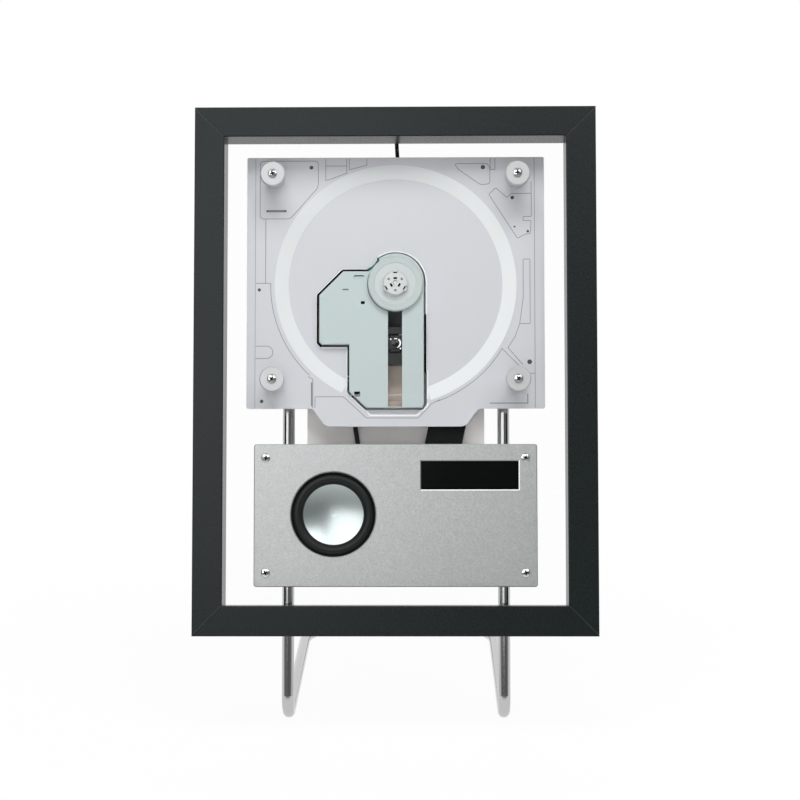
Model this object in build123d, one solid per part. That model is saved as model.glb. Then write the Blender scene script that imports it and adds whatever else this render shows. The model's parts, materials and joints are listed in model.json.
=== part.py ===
from build123d import *
import math
import os

# A disc player in a picture frame, leaning back on a bent rod stand.
#
# All sizes are millimetres. The player is drawn upright: X to the right, Z up, and Y
# runs back from the face of the picture frame, whose centre is the drawing's origin.
# A "front" is a depth along Y. `lean_back` then tilts the player and sets it on its stand.

# ---------------------------------------------------------------- picture frame
frame_width = 228.0
frame_height = 300.0
frame_depth = 28.0
rail_face = 17.0  # width of a rail, seen from the front
rail_wall = 1.6
rail_edge_radius = 0.6
lip_depth = 18.8  # from the face of the frame back to the clear sheet
rabbet_width = 5.0
channel_opening = 5.0
channel_width = 8.0
channel_depth = 5.6
key_thickness = 3.0
key_leg = 34.0
key_screw_radius = 2.0

sheet_thickness = 3.0
sheet_clearance = 0.5
sheet_corner_radius = 2.0
gasket_clearance = 0.1
gasket_setback = 3.0  # of the gasket's inner edge from the rail's inner edge

lean_angle = 15.0  # of the frame, from upright
foot_clearance = 59.0  # front lower edge of the frame above the floor

# ------------------------------------------------------------------- disc plate
plate_width = 171.0
plate_height = 145.3
plate_margin = 8.7  # from the upper rail down to the plate
plate_thickness = 3.0
plate_corner_radius = 1.0
tab_width_top = 95.0
tab_width_bottom = 80.0
tab_drop = 10.3
tab_outer_radius = 6.0
tab_inner_radius = 3.0
spindle_drop = 73.9  # from the top of the plate down to the spindle
recess_radius = 61.4
recess_rim_radius = 69.5
recess_depth = 1.2
mechanism_gap = 1.0  # between the disc plate and the mechanism plate
mechanism_side_gap = 1.6  # the same at the lower right
mechanism_side_top = 50.0  # where that wider gap starts, below the spindle
mechanism_foot_gap = 3.7  # the same under the foot of the mechanism plate

standoff_x = 69.6
standoff_top_inset = 12.5
standoff_bottom_inset = 15.6
pillar_radius = 5.7
cap_radius = 7.1
cap_thickness = 4.0
cap_chamfer = 0.6
cap_front = 0.4
cap_counterbore_radius = 2.7
cap_counterbore_depth = 1.0

bolt_radius = 1.5
bolt_clearance = 0.1
bolt_head_radius = 2.35
bolt_head_height = 1.5
nut_across_flats = 5.5
nut_thickness = 2.4

# ------------------------------------------------------------------ lower panel
panel_width = 161.4
panel_gap = 20.5  # between the disc plate and the panel
panel_margin = 10.3  # from the panel down to the lower rail
panel_thickness = 5.0
panel_corner_radius = 1.5
panel_edge_chamfer = 0.4
panel_bolt_inset_x = 6.7
panel_bolt_inset_z = 7.9
panel_counterbore_radius = 2.6
panel_counterbore_depth = 1.4

display_width = 55.7
display_height = 16.4
display_centre_x = 42.35
display_drop = 17.8  # from the top of the panel to the middle of the display
display_lens_thickness = 1.5
display_lens_setback = 0.1
display_pocket_margin = 0.9
display_board_thickness = 3.0

# ---------------------------------------------------------------------- speaker
speaker_x = -35.5
speaker_rise = 0.5  # above the middle of the panel
speaker_hole_radius = 24.2
speaker_hole_bevel = 0.6
surround_radius = 24.1
surround_thickness = 0.5
surround_rise = 3.4
cone_radius = 17.95
cone_dish = 3.4
cone_thickness = 0.4
cone_rim_front = 17.1
basket_flange_radius = 26.4
basket_flange_thickness = 1.4
basket_mouth_radius = 22.6
basket_waist_radius = 17.6
basket_waist_depth = 5.6
basket_throat_radius = 15.5
basket_depth = 12.0
basket_wall = 1.2
basket_windows = 4
basket_tab_radius = 20.5
coil_radius = 10.0
coil_wall = 0.5
coil_length = 15.5
coil_gap = 0.6
magnet_radius = 16.0
magnet_length = 9.8
yoke_plate = 2.0

# ---------------------------------------------------------------- rear housing
housing_width = 102.0
housing_top_margin = 36.0  # below the top of the frame
housing_foot_drop = 36.4  # of the housing's foot below the middle of the speaker
housing_front = 24.8
housing_depth = 29.2
housing_wall = 2.0
housing_corner_radius = 6.0
speaker_bulge_radius = 21.0
speaker_port_radius = 19.4
post_radius = 3.5
post_side_inset = 7.0
post_top_inset = 10.0
post_bottom_inset = 8.5
cover_thickness = 2.4
cover_screw_length = 12.0
sheet_boss_radius = 4.0
sheet_screw_length = 14.0

vent_count = 9
vent_width = 3.0
vent_length = 26.0
vent_pitch = 7.0
vent_centre_z = 18.0
keyhole_spacing = 60.0
keyhole_drop = 34.0  # below the top of the housing
keyhole_entry_radius = 4.5
keyhole_slot_radius = 2.2
keyhole_travel = 9.0
keyhole_pocket_depth = 4.5
keyhole_pocket_wall = 1.6

board_side_gap = 13.0  # of the main board from the side of the housing
board_top_drop = 54.0  # below the top of the housing
board_bottom_lift = 23.6  # above the middle of the speaker
board_front = 44.0
board_thickness = 1.6
board_chips = ((-8, 40, 14, 14, 1.4), (18, 34, 10, 10, 1.2), (-20, 76, 12, 18, 1.6), (-24, 12, 18, 5, 3.0))
board_capacitors = ((22, 50, 4.0, 7.5), (22, 38, 4.0, 7.5), (10, 44, 3.2, 6.0))
board_post_radius = 2.6
board_post_inset = 5.0
battery_length = 66.0
battery_height = 34.0
battery_thickness = 17.0
battery_drop = 31.0  # below the top of the housing
battery_edge_radius = 3.0

key_count = 5
key_pitch = 7.5
key_drop = 51.0  # of the lowest key below the top of the housing
key_depth_y = 40.0
key_size_y = 7.0
key_size_z = 5.0
key_proud = 1.2
key_travel = 0.6
key_gap = 0.15
key_flange_margin = 1.0
key_flange_thickness = 1.2
key_board_margin = 5.2

jack_x = 18.0
jack_depth_y = 40.0
jack_bore_radius = 1.8
jack_bore_depth = 14.0
jack_nose_radius = 3.0
usb_x = -2.0
usb_width = 9.0
usb_height = 3.3
usb_wall = 0.35

# ------------------------------------------------------------------- mechanism
# Heights and sides of the mechanism plate are measured from the spindle.
mechanism_front = 14.0
mechanism_rim = 3.4
mechanism_sheet = 0.8
mechanism_edge_radius = 0.7
mechanism_right = 16.3
mechanism_nose_lift = 1.6
mechanism_leg_left = 26.6
mechanism_bottom = 71.2
mechanism_wing_left = 43.8
mechanism_wing_top = 7.5
mechanism_wing_bottom = 34.8
mechanism_wing_bevel = 13.8
mechanism_shoulder = -9.3  # side place where the round nose ends
mechanism_notch = (-9.6, 11.8)
mechanism_notch_end = -15.4
mechanism_foot = (-16.8, 15.2)  # ends of its lower edge
mechanism_foot_bevel = 9.3
mechanism_toe_bevel = 1.9
mechanism_corner = 1.6
mechanism_slots = (((-23.2, 4.3), (-18.9, 4.3), 1.8), ((-29.8, -3.2), (-27.4, -3.2), 1.2))
mechanism_holes = ((-18.7, -10.6, 2.3, 1.8), (-21.9, -63.2, 3.4, 2.8))
slot_width = 8.1
slot_centre_x = -0.25
slot_foot = 70.4
motor_window_radius = 13.0
motor_board_radius = 23.0
motor_board_bottom = 11.8
motor_board_reach = 0.6  # past the mechanism plate, where the board shows

base_front = 18.6
base_back = 23.3
base_inset = 0.9
base_ear_radius = 4.0
base_ear_thickness = 1.2
base_ear_inset = 4.8  # of the left ear from the side of the housing
base_skirt_reach = 2.5  # of the base's skirt past the mechanism plate
base_skirt_thickness = 1.0
base_skirt_left = (-52.0, 12.0)  # lowest and highest place of the left skirt, about the spindle
base_skirt_right = (-50.0, -17.0)
damper_radius = 3.2
damper_screw_radius = 1.0
sled_window_left = 21.5
sled_window_right = 14.2
sled_window_top = 13.6
sled_window_bottom = 67.6

spindle_radius = 0.75
running_clearance = 0.05
motor_radius = 12.0
motor_front = 15.0
motor_back = 20.6
motor_edge_chamfer = 0.6
turntable_radius = 15.8
turntable_front = 11.6
turntable_thickness = 1.6
turntable_boss_radius = 5.0
mat_inner_radius = 11.9
mat_width = 3.3
mat_thickness = 0.5
mat_proud = 0.1
hub_radius = 7.4
hub_height = 2.8
hub_edge_chamfer = 0.5
hub_seat_height = 1.3  # the disc's hole sits round this stretch
hub_crown_step = 0.35
hub_slot_radius = 2.65  # to the middle of the small slots
hub_slot_width = 1.8
hub_slot_height = 0.8
hub_dimple_radius = 4.4
claw_angles = (90.0, 210.0, 330.0)
claw_width = 2.2
claw_length = 1.6
claw_nose = 0.5
claw_height = 0.75
claw_setback = 0.5
claw_travel = 0.55
claw_gap = 0.2

guide_x = 12.2
guide_depth = 19.6
guide_radius = 1.5
guide_side_radius = 1.2
guide_bottom = 69.2
screw_x = -18.5
screw_radius = 1.5
screw_bottom = 65.6
screw_bearing_length = 5.0
sled_motor_radius = 4.5
sled_motor_length = 10.0
sled_motor_bottom = 12.9

lens_reach = 34.1  # from the spindle to the lens at rest
lens_radius = 2.5
lens_front = 14.4
lens_rim = 0.8
lens_crown = 0.5
focus_travel = 0.5
sled_width = 20.8
sled_front = 15.3
sled_back = 22.4
sled_above_lens = 9.5
sled_below_lens = 9.0
sled_tail = 12.3
sled_tail_depth = 2.6
holder_width = 7.0
holder_height = 9.0
holder_front = 15.2
holder_thickness = 2.6
holder_gap = 1.2

# -------------------------------------------------------------- wires and cables
cable_front = 22.6
cable_thickness = 0.6
flat_cable_width = 21.0
flat_cable_x = 28.5
flat_cable_slant = 12.0
flat_cable_rise = 14.0  # behind the disc plate
flat_cable_drop = 14.0  # behind the panel
strip_cable_width = 2.6
strip_cable_x = -22.6
strip_cable_slant = -9.0
strip_cable_rise = 8.0
strip_cable_drop = 24.5
cable_centre_drop = 14.7  # below the disc plate
cable_tail = 6.0  # of each cable inside the housing
cable_slot_gap = 0.4

aerial_radius = 1.15
aerial_x = 1.6
aerial_exit_y = 36.0
aerial_rail_drop = 5.5
aerial_end_inset = 28.0  # from the side of the frame
aerial_tail = 8.0  # inside the housing
aerial_rise = 5.0  # straight up out of the grommet
aerial_lead = 12.0  # behind the rail before the turn
aerial_standoff = 1.7
aerial_turn_radius = 7.0
aerial_rise_radius = 18.0
aerial_tip_radius = 1.6
aerial_tip_length = 7.0
clip_count = 3
clip_first_inset = 7.4  # past the wire's turn
clip_last_inset = 10.0  # before the wire's end
clip_width = 6.0
grommet_radius = 3.4
grommet_flange = 1.0

# ------------------------------------------------------------------------ stand
rod_radius = 3.5
rod_offset = 11.4  # of each rod from the side of the housing
rod_gap = 0.3
rod_bulge_gap = 2.4  # at least, between a rod and the housing's bulge
rod_top_drop = 60.0  # below the top of the housing
rod_foot_radius = 10.0
rod_rear_radius = 40.0
rod_floor_run = 182.0
socket_wall = 2.3
socket_length = 48.0
socket_cap = 4.0
socket_clearance = 0.08
socket_flange = 2.5
socket_screw_head = 2.8
saddle_web = 1.2
saddle_width = 13.0
saddle_height = 9.0

# ---------------------------------------------------------------- worked out
sheet_front = lip_depth
sheet_back = sheet_front + sheet_thickness
plate_front = sheet_front - plate_thickness
panel_front = sheet_front - panel_thickness
plate_top = frame_height / 2 - rail_face - plate_margin
plate_bottom = plate_top - plate_height
spindle_height = plate_top - spindle_drop
panel_top = plate_bottom - panel_gap
panel_bottom = rail_face + panel_margin - frame_height / 2
panel_height = panel_top - panel_bottom
panel_centre_z = (panel_top + panel_bottom) / 2
display_centre_z = panel_top - display_drop
speaker_z = panel_centre_z + speaker_rise
housing_top = frame_height / 2 - housing_top_margin
housing_bottom = speaker_z - housing_foot_drop
housing_back = housing_front + housing_depth
wall_back = housing_front + housing_wall
housing_side = housing_width / 2
cover_back = housing_back + cover_thickness
keyhole_z = housing_top - keyhole_drop
board_width = housing_width - 2 * board_side_gap
board_top = housing_top - board_top_drop
board_bottom = speaker_z + board_bottom_lift
battery_centre_z = housing_top - battery_drop
key_lowest_z = housing_top - key_drop
flat_cable_top = plate_bottom + flat_cable_rise
flat_cable_bottom = panel_top - flat_cable_drop
strip_cable_top = plate_bottom + strip_cable_rise
strip_cable_bottom = panel_top - strip_cable_drop
cable_centre_z = plate_bottom - cable_centre_drop
aerial_rail_z = frame_height / 2 - aerial_rail_drop
aerial_end_x = frame_width / 2 - aerial_end_inset
disc_seat = turntable_front - mat_proud
hub_front = turntable_front - hub_height
bulge_side = speaker_bulge_radius - speaker_x
rod_x = max(housing_side + rod_offset, bulge_side + rod_radius + rod_bulge_gap)
rod_y = frame_depth + saddle_web + rod_gap + rod_radius
rod_top_z = housing_top - rod_top_drop
lens_z = spindle_height - lens_reach
bolt_hole_radius = bolt_radius + bolt_clearance
panel_bolts = [
    (
        side * (panel_width / 2 - panel_bolt_inset_x),
        panel_centre_z + end * (panel_height / 2 - panel_bolt_inset_z),
    )
    for side in (-1, 1)
    for end in (-1, 1)
]
standoffs = [
    (side * standoff_x, z)
    for side in (-1, 1)
    for z in (plate_bottom + standoff_bottom_inset, plate_top - standoff_top_inset)
]
post_x = housing_side - post_side_inset
post_heights = (housing_top - post_top_inset, 0.0, housing_bottom + post_bottom_inset)
posts = [(side * post_x, z) for side in (-1, 1) for z in post_heights]
sheet_posts = [(side * post_x, z) for side in (-1, 1) for z in (post_heights[0], post_heights[-1])]
# Ears of the mechanism's base, about the spindle: side place, height, and where the ear joins the base.
base_ears = ((base_ear_inset - housing_side, -15.4, -38.0), (22.5, -45.4, 15.2), (-34.0, -56.4, -24.0))


# ------------------------------------------------------------------------- tools
def slab(face, front, thickness):
    """A plate of the given face, drawn as seen from the front, starting at depth `front`."""
    return extrude(Plane.XZ.offset(-(front + thickness)) * face, amount=thickness, dir=(0, -1, 0))


def window(left, bottom, right, top):
    """A rectangular face between two corners."""
    return Pos((left + right) / 2, (bottom + top) / 2) * Rectangle(right - left, top - bottom)


def block(left, right, front, back, bottom, top):
    """A box between named planes."""
    return slab(window(left, bottom, right, top), front, back - front)


def drum(x, z, radius, front, thickness):
    """A round bar whose axis runs front to back."""
    return slab(Pos(x, z) * Circle(radius), front, thickness)


def ring(x, z, outer, inner, front, thickness):
    """A flat ring whose axis runs front to back."""
    return slab(Pos(x, z) * (Circle(outer) - Circle(inner)), front, thickness)


def upright_bar(x, y, radius, bottom, top):
    """A round bar whose axis runs up the player."""
    return Pos(x, y, (bottom + top) / 2) * Cylinder(radius, top - bottom)


def turned(x, z, profile):
    """A solid turned about an axis that runs front to back, from a (radius, depth) face."""
    return Pos(x, 0, z) * revolve(profile, axis=Axis.Y)


def crown_arc(rim, base, rise):
    """An arc from (rim, base) to the axis, whose centre lies on the axis."""
    radius = (rim**2 + rise**2) / (2 * rise)
    half_angle = math.asin(rim / abs(radius)) / 2
    centre = base + rise - radius
    middle = (abs(radius) * math.sin(half_angle), centre + radius * math.cos(half_angle))
    return ThreePointArc((rim, base), middle, (0, base + rise))


def slot_between(start, end, width):
    """A round-ended slot from one point to another."""
    along = (end[0] - start[0], end[1] - start[1])
    middle = ((start[0] + end[0]) / 2, (start[1] + end[1]) / 2)
    turn = math.degrees(math.atan2(along[1], along[0]))
    return Pos(*middle) * Rot(0, 0, turn) * SlotCenterToCenter(math.hypot(*along), width)


def front_edges(solid):
    """The edges in the foremost plane of a solid."""
    return solid.edges().group_by(Axis.Y)[0]


def hexagon(x, z, across_flats, front, thickness):
    """A hexagon nut's blank."""
    return slab(Pos(x, z) * RegularPolygon(across_flats / 2, 6, major_radius=False), front, thickness)


# ---------------------------------------------------------------- picture frame
def rail(length):
    """A mitred rail with its outer face at Z 0, its length along X."""
    inner_step = rail_face - rabbet_width
    outline = [
        (0, 0),
        (0, -rail_face),
        (lip_depth, -rail_face),
        (lip_depth, -inner_step),
        (frame_depth, -inner_step),
        (frame_depth, 0),
    ]
    profile = Polygon(*outline, align=None)
    profile = fillet(profile.vertices().group_by(Axis.X)[0], rail_edge_radius)
    profile -= window(rail_wall, rail_wall - rail_face, lip_depth - rail_wall, -rail_wall)
    slot_middle = -inner_step / 2
    opening = channel_opening / 2
    profile -= window(
        frame_depth - rail_wall - 1, slot_middle - opening, frame_depth + 1, slot_middle + opening
    )
    undercut = channel_width / 2
    channel_floor = frame_depth - channel_depth
    profile -= window(
        channel_floor, slot_middle - undercut, frame_depth - rail_wall, slot_middle + undercut
    )
    bar = extrude(Plane.YZ.offset(-length / 2) * profile, amount=length, dir=(1, 0, 0))
    half = length / 2
    mitre = Polygon(
        (-half, 0),
        (half, 0),
        (half - 2 * rail_face, -2 * rail_face),
        (2 * rail_face - half, -2 * rail_face),
        align=None,
    )
    return bar & slab(mitre, -1, frame_depth + 2)


def frame_rails():
    """The four rails, by name."""
    across = rail(frame_width)
    upright = rail(frame_height)
    return {
        "frame_top_rail": Pos(0, 0, frame_height / 2) * across,
        "frame_bottom_rail": Pos(0, 0, -frame_height / 2) * Rot(0, 180, 0) * across,
        "frame_left_rail": Pos(-frame_width / 2, 0, 0) * Rot(0, -90, 0) * upright,
        "frame_right_rail": Pos(frame_width / 2, 0, 0) * Rot(0, 90, 0) * upright,
    }


def four_corners(solid):
    """A solid drawn at the upper right corner, repeated at all four."""
    flipped = mirror(solid, about=Plane.YZ)
    return [solid, flipped, mirror(solid, about=Plane.XY), mirror(flipped, about=Plane.XY)]


def corner_keys():
    """Corner keys in the rear channels, and the set screws that jam them."""
    middle = (rail_face - rabbet_width) / 2
    half = channel_width / 2 - 0.2
    near = middle - half
    far = middle + half
    reach = near + key_leg
    shape = Polygon(
        (-near, -near),
        (-reach, -near),
        (-reach, -far),
        (-far, -far),
        (-far, -reach),
        (-near, -reach),
        align=None,
    )
    back = frame_depth - rail_wall
    key = slab(Pos(frame_width / 2, frame_height / 2) * shape, back - key_thickness, key_thickness)
    hole_reach = near + key_leg * 0.75
    places = [
        (frame_width / 2 - hole_reach, frame_height / 2 - middle),
        (frame_width / 2 - middle, frame_height / 2 - hole_reach),
    ]
    floor = frame_depth - channel_depth
    screws = []
    for x, z in places:
        key -= drum(x, z, key_screw_radius + running_clearance, floor, channel_depth)
        screw = drum(x, z, key_screw_radius, floor, back - floor - 0.3)
        socket = hexagon(x, z, key_screw_radius, back - 1.5, 1.5)
        screws += four_corners(screw - socket)
    return four_corners(key), screws


def clear_sheet():
    """The clear sheet in the rabbet, cut out for what passes through it."""
    margin = 2 * (rail_face - rabbet_width + sheet_clearance)
    face = RectangleRounded(frame_width - margin, frame_height - margin, sheet_corner_radius)
    sheet = slab(face, sheet_front, sheet_thickness)
    sheet -= slab(mechanism_window(), sheet_front - 1, sheet_thickness + 2)
    sheet -= drum(speaker_x, speaker_z, basket_flange_radius + 0.3, sheet_front - 1, sheet_thickness + 2)
    for x, z in standoffs + panel_bolts:
        sheet -= drum(x, z, bolt_hole_radius, sheet_front - 1, sheet_thickness + 2)
    for x, z in sheet_posts:
        sheet -= countersunk_screw(x, z, bolt_clearance)
    return sheet - flat_cable_slot()


def countersunk_screw(x, z, grow=0.0):
    """The screw that holds the housing to the clear sheet, or its hole where it is grown."""
    head = bolt_radius * 2
    profile = Polygon(
        (0, 0),
        (head + grow, 0),
        (bolt_radius + grow, bolt_radius),
        (bolt_radius + grow, sheet_screw_length + grow),
        (0, sheet_screw_length + grow),
        align=None,
    )
    return turned(x, z, Pos(0, sheet_front) * profile)


def glazing_gasket():
    """Four strips that hold the clear sheet in its rabbet."""
    outer = rail_face - rabbet_width + gasket_clearance
    inner = rail_face - gasket_setback
    half_width = frame_width / 2
    half_height = frame_height / 2
    back = frame_depth - 0.2
    top = block(
        outer - half_width, half_width - outer, sheet_back, back, half_height - inner, half_height - outer
    )
    side_reach = half_height - inner - gasket_clearance
    side = block(half_width - inner, half_width - outer, sheet_back, back, -side_reach, side_reach)
    return [top, mirror(top, about=Plane.XY), side, mirror(side, about=Plane.YZ)]


# -------------------------------------------------------------------- disc plate
def mechanism_face():
    """The outline of the mechanism plate, about the spindle."""
    shoulder_rise = math.sqrt(mechanism_right**2 - mechanism_shoulder**2)
    shoulder = (mechanism_shoulder, mechanism_nose_lift + shoulder_rise)
    foot_left, foot_right = mechanism_foot
    corners = [
        shoulder,
        mechanism_notch,
        (mechanism_notch_end, mechanism_wing_top),
        (mechanism_wing_bevel - mechanism_wing_left, mechanism_wing_top),
        (-mechanism_wing_left, mechanism_wing_top - mechanism_wing_bevel),
        (-mechanism_wing_left, mechanism_corner - mechanism_wing_bottom),
        (mechanism_corner - mechanism_wing_left, -mechanism_wing_bottom),
        (-mechanism_leg_left, -mechanism_wing_bottom),
        (-mechanism_leg_left, mechanism_foot_bevel - mechanism_bottom),
        (foot_left, -mechanism_bottom),
        (foot_right, -mechanism_bottom),
        (mechanism_right, mechanism_toe_bevel - mechanism_bottom),
        (mechanism_right, mechanism_nose_lift),
    ]
    nose_top = (0, mechanism_nose_lift + mechanism_right)
    return make_face([Polyline(*corners), ThreePointArc(corners[-1], nose_top, shoulder)])


def about_spindle(face):
    """Moves a face drawn about the spindle to its place on the player."""
    return Pos(0, spindle_height) * face


def mechanism_window():
    """The cut-out that the mechanism shows through, wider down the right side and under the foot."""
    around = offset(mechanism_face(), mechanism_gap)
    foot_left, foot_right = mechanism_foot
    foot_bottom = -mechanism_bottom - mechanism_foot_gap
    side_right = mechanism_right + mechanism_side_gap
    side = window(0, mechanism_toe_bevel - mechanism_bottom, side_right, -mechanism_side_top)
    foot = Polygon(
        (foot_left, 1 - mechanism_bottom),
        (foot_left, -mechanism_bottom),
        (foot_left + mechanism_foot_gap * 0.6, foot_bottom),
        (foot_right - mechanism_foot_gap * 0.8, foot_bottom),
        (foot_right, -mechanism_bottom),
        (foot_right, 1 - mechanism_bottom),
        align=None,
    )
    return about_spindle(around + side + foot)


def plate_face():
    """The disc plate's outline, with the tab along its lower edge."""
    body = window(-plate_width / 2, plate_bottom, plate_width / 2, plate_top)
    body = fillet(body.vertices(), plate_corner_radius)
    tab_foot = plate_bottom - tab_drop
    tab = Polygon(
        (-tab_width_top / 2, plate_bottom),
        (-tab_width_bottom / 2, tab_foot),
        (tab_width_bottom / 2, tab_foot),
        (tab_width_top / 2, plate_bottom),
        (tab_width_top / 2, plate_bottom + tab_drop),
        (-tab_width_top / 2, plate_bottom + tab_drop),
        align=None,
    )
    face = body + tab
    rows = face.vertices().group_by(Axis.Y)
    face = fillet(rows[0], tab_outer_radius)
    shoulders = [
        v
        for v in face.vertices()
        if abs(v.Y - plate_bottom) < 0.01 and abs(abs(v.X) - tab_width_top / 2) < 0.01
    ]
    return fillet(shoulders, tab_inner_radius)


def disc_plate():
    """The plate that the disc lies in front of, with its conical rim and shallow recess."""
    plate = slab(plate_face(), plate_front, plate_thickness)
    rim = Polygon(
        (0, -1),
        (recess_rim_radius, -1),
        (recess_rim_radius, 0),
        (recess_radius, recess_depth),
        (0, recess_depth),
        align=None,
    )
    plate -= turned(0, spindle_height, Pos(0, plate_front) * rim)
    plate -= slab(mechanism_window(), plate_front - 1, plate_thickness + 2)
    for x, z in standoffs:
        plate -= drum(x, z, bolt_hole_radius, plate_front - 1, plate_thickness + 2)
    return plate


def standoff_pillars():
    """Pillars between the disc plate and the caps."""
    front = cap_front + cap_thickness
    return [ring(x, z, pillar_radius, bolt_hole_radius, front, plate_front - front) for x, z in standoffs]


def standoff_caps():
    """Caps with a chamfered rim and a counterbore for the screw's head."""
    caps = []
    for x, z in standoffs:
        cap = chamfer(front_edges(drum(x, z, cap_radius, cap_front, cap_thickness)), cap_chamfer)
        cap -= drum(x, z, cap_counterbore_radius, cap_front - 1, cap_counterbore_depth + 1)
        caps.append(cap - drum(x, z, bolt_hole_radius, cap_front, cap_thickness + 1))
    return caps


def panhead_bolt(x, z, seat, reach):
    """A cross-recessed screw whose head sits on depth `seat` and whose shank ends at `reach`."""
    head = drum(x, z, bolt_head_radius, seat - bolt_head_height, bolt_head_height)
    head = chamfer(front_edges(head), bolt_head_height * 0.4)
    bolt = head + drum(x, z, bolt_radius, seat, reach - seat)
    arm = bolt_head_radius * 0.6
    for wide, tall in ((arm, 0.35), (0.35, arm)):
        bolt -= block(x - wide, x + wide, seat - bolt_head_height - 1, seat - 0.5, z - tall, z + tall)
    return bolt


def standoff_screws():
    """Screws through the caps, the pillars, the disc plate and the clear sheet."""
    seat = cap_front + cap_counterbore_depth
    return [panhead_bolt(x, z, seat, sheet_back + nut_thickness + 0.5) for x, z in standoffs]


def clamp_nuts():
    """Nuts behind the clear sheet, on the standoff screws and the panel screws."""
    nuts = []
    for x, z in standoffs + panel_bolts:
        nut = hexagon(x, z, nut_across_flats, sheet_back, nut_thickness)
        nuts.append(nut - drum(x, z, bolt_radius + running_clearance, sheet_back - 1, nut_thickness + 2))
    return nuts


# ------------------------------------------------------------------- lower panel
def front_panel():
    """The panel that carries the speaker and the display."""
    face = Pos(0, panel_centre_z) * RectangleRounded(panel_width, panel_height, panel_corner_radius)
    panel = slab(face, panel_front, panel_thickness)
    panel = chamfer(front_edges(panel), panel_edge_chamfer)
    through = panel_thickness + 2
    panel -= drum(speaker_x, speaker_z, speaker_hole_radius, panel_front - 1, through)
    bevel = Polygon(
        (0, -1),
        (speaker_hole_radius + speaker_hole_bevel, -1),
        (speaker_hole_radius + speaker_hole_bevel, 0),
        (speaker_hole_radius, speaker_hole_bevel),
        (0, speaker_hole_bevel),
        align=None,
    )
    panel -= turned(speaker_x, speaker_z, Pos(0, panel_front) * bevel)
    centre = Pos(display_centre_x, display_centre_z)
    panel -= slab(centre * Rectangle(display_width, display_height), panel_front - 1, through)
    pocket_front = panel_front + display_lens_setback + display_lens_thickness
    pocket = Rectangle(display_width + 2 * display_pocket_margin, display_height + 4 * display_pocket_margin)
    panel -= slab(centre * pocket, pocket_front, panel_thickness)
    for x, z in panel_bolts:
        panel -= drum(x, z, bolt_hole_radius, panel_front - 1, through)
        panel -= drum(x, z, panel_counterbore_radius, panel_front - 1, panel_counterbore_depth + 1)
    return panel


def panel_screws():
    """Screws through the panel and the clear sheet."""
    seat = panel_front + panel_counterbore_depth
    return [panhead_bolt(x, z, seat, sheet_back + nut_thickness + 0.5) for x, z in panel_bolts]


def display_window():
    """The dark window over the display."""
    face = Rectangle(display_width - 0.2, display_height - 0.2)
    front = panel_front + display_lens_setback
    return slab(Pos(display_centre_x, display_centre_z) * face, front, display_lens_thickness)


def display_board():
    """The display's board with its glass, behind the window."""
    centre = Pos(display_centre_x, display_centre_z)
    front = panel_front + display_lens_setback + display_lens_thickness
    board_face = Rectangle(
        display_width + 2 * display_pocket_margin - 0.4, display_height + 4 * display_pocket_margin - 0.4
    )
    glass = slab(centre * Rectangle(display_width - 3, display_height - 2), front, 1.4)
    board = slab(centre * board_face, front + 1.4, display_board_thickness - 1.4)
    return glass + board


# ----------------------------------------------------------------------- speaker
def speaker_basket():
    """The speaker's basket, with its windows and its terminal tab."""
    flange_back = sheet_front + basket_flange_thickness
    throat = sheet_front + basket_depth
    waist = sheet_front + basket_waist_depth
    shell = Polygon(
        (basket_flange_radius, sheet_front),
        (basket_flange_radius, flange_back),
        (basket_mouth_radius + basket_wall, flange_back),
        (basket_waist_radius + basket_wall, waist),
        (basket_throat_radius + basket_wall, throat),
        (coil_radius + coil_gap, throat),
        (coil_radius + coil_gap, throat - basket_wall),
        (basket_throat_radius, throat - basket_wall),
        (basket_waist_radius, waist),
        (basket_mouth_radius, sheet_front),
        align=None,
    )
    basket = turned(speaker_x, speaker_z, shell)
    middle = (flange_back + throat) / 2
    for index in range(basket_windows):
        turn = 360 / basket_windows * (index + 0.5)
        opening = Pos(basket_mouth_radius, middle, 0) * Box(16, basket_depth * 0.45, 14)
        basket -= Pos(speaker_x, 0, speaker_z) * Rot(0, turn, 0) * opening
    tab = block(-3, 3, flange_back, cable_front, basket_tab_radius, basket_flange_radius)
    return basket + Pos(speaker_x, 0, speaker_z) * Rot(0, 45, 0) * tab


def speaker_magnet():
    """Front plate, magnet ring, rear plate and pole, as one assembly."""
    front = sheet_front + basket_depth
    back = front + magnet_length
    inner = coil_radius + coil_gap
    pole = coil_radius - coil_gap
    section = Polygon(
        (inner, front),
        (magnet_radius - 2, front),
        (magnet_radius - 2, front + yoke_plate),
        (magnet_radius, front + yoke_plate),
        (magnet_radius, back - yoke_plate),
        (magnet_radius - 1.5, back - yoke_plate),
        (magnet_radius - 1.5, back),
        (0, back),
        (0, front),
        (pole, front),
        (pole, back - yoke_plate),
        (inner + 1.4, back - yoke_plate),
        (inner + 1.4, front + yoke_plate),
        (inner, front + yoke_plate),
        align=None,
    )
    return turned(speaker_x, speaker_z, section)


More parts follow.
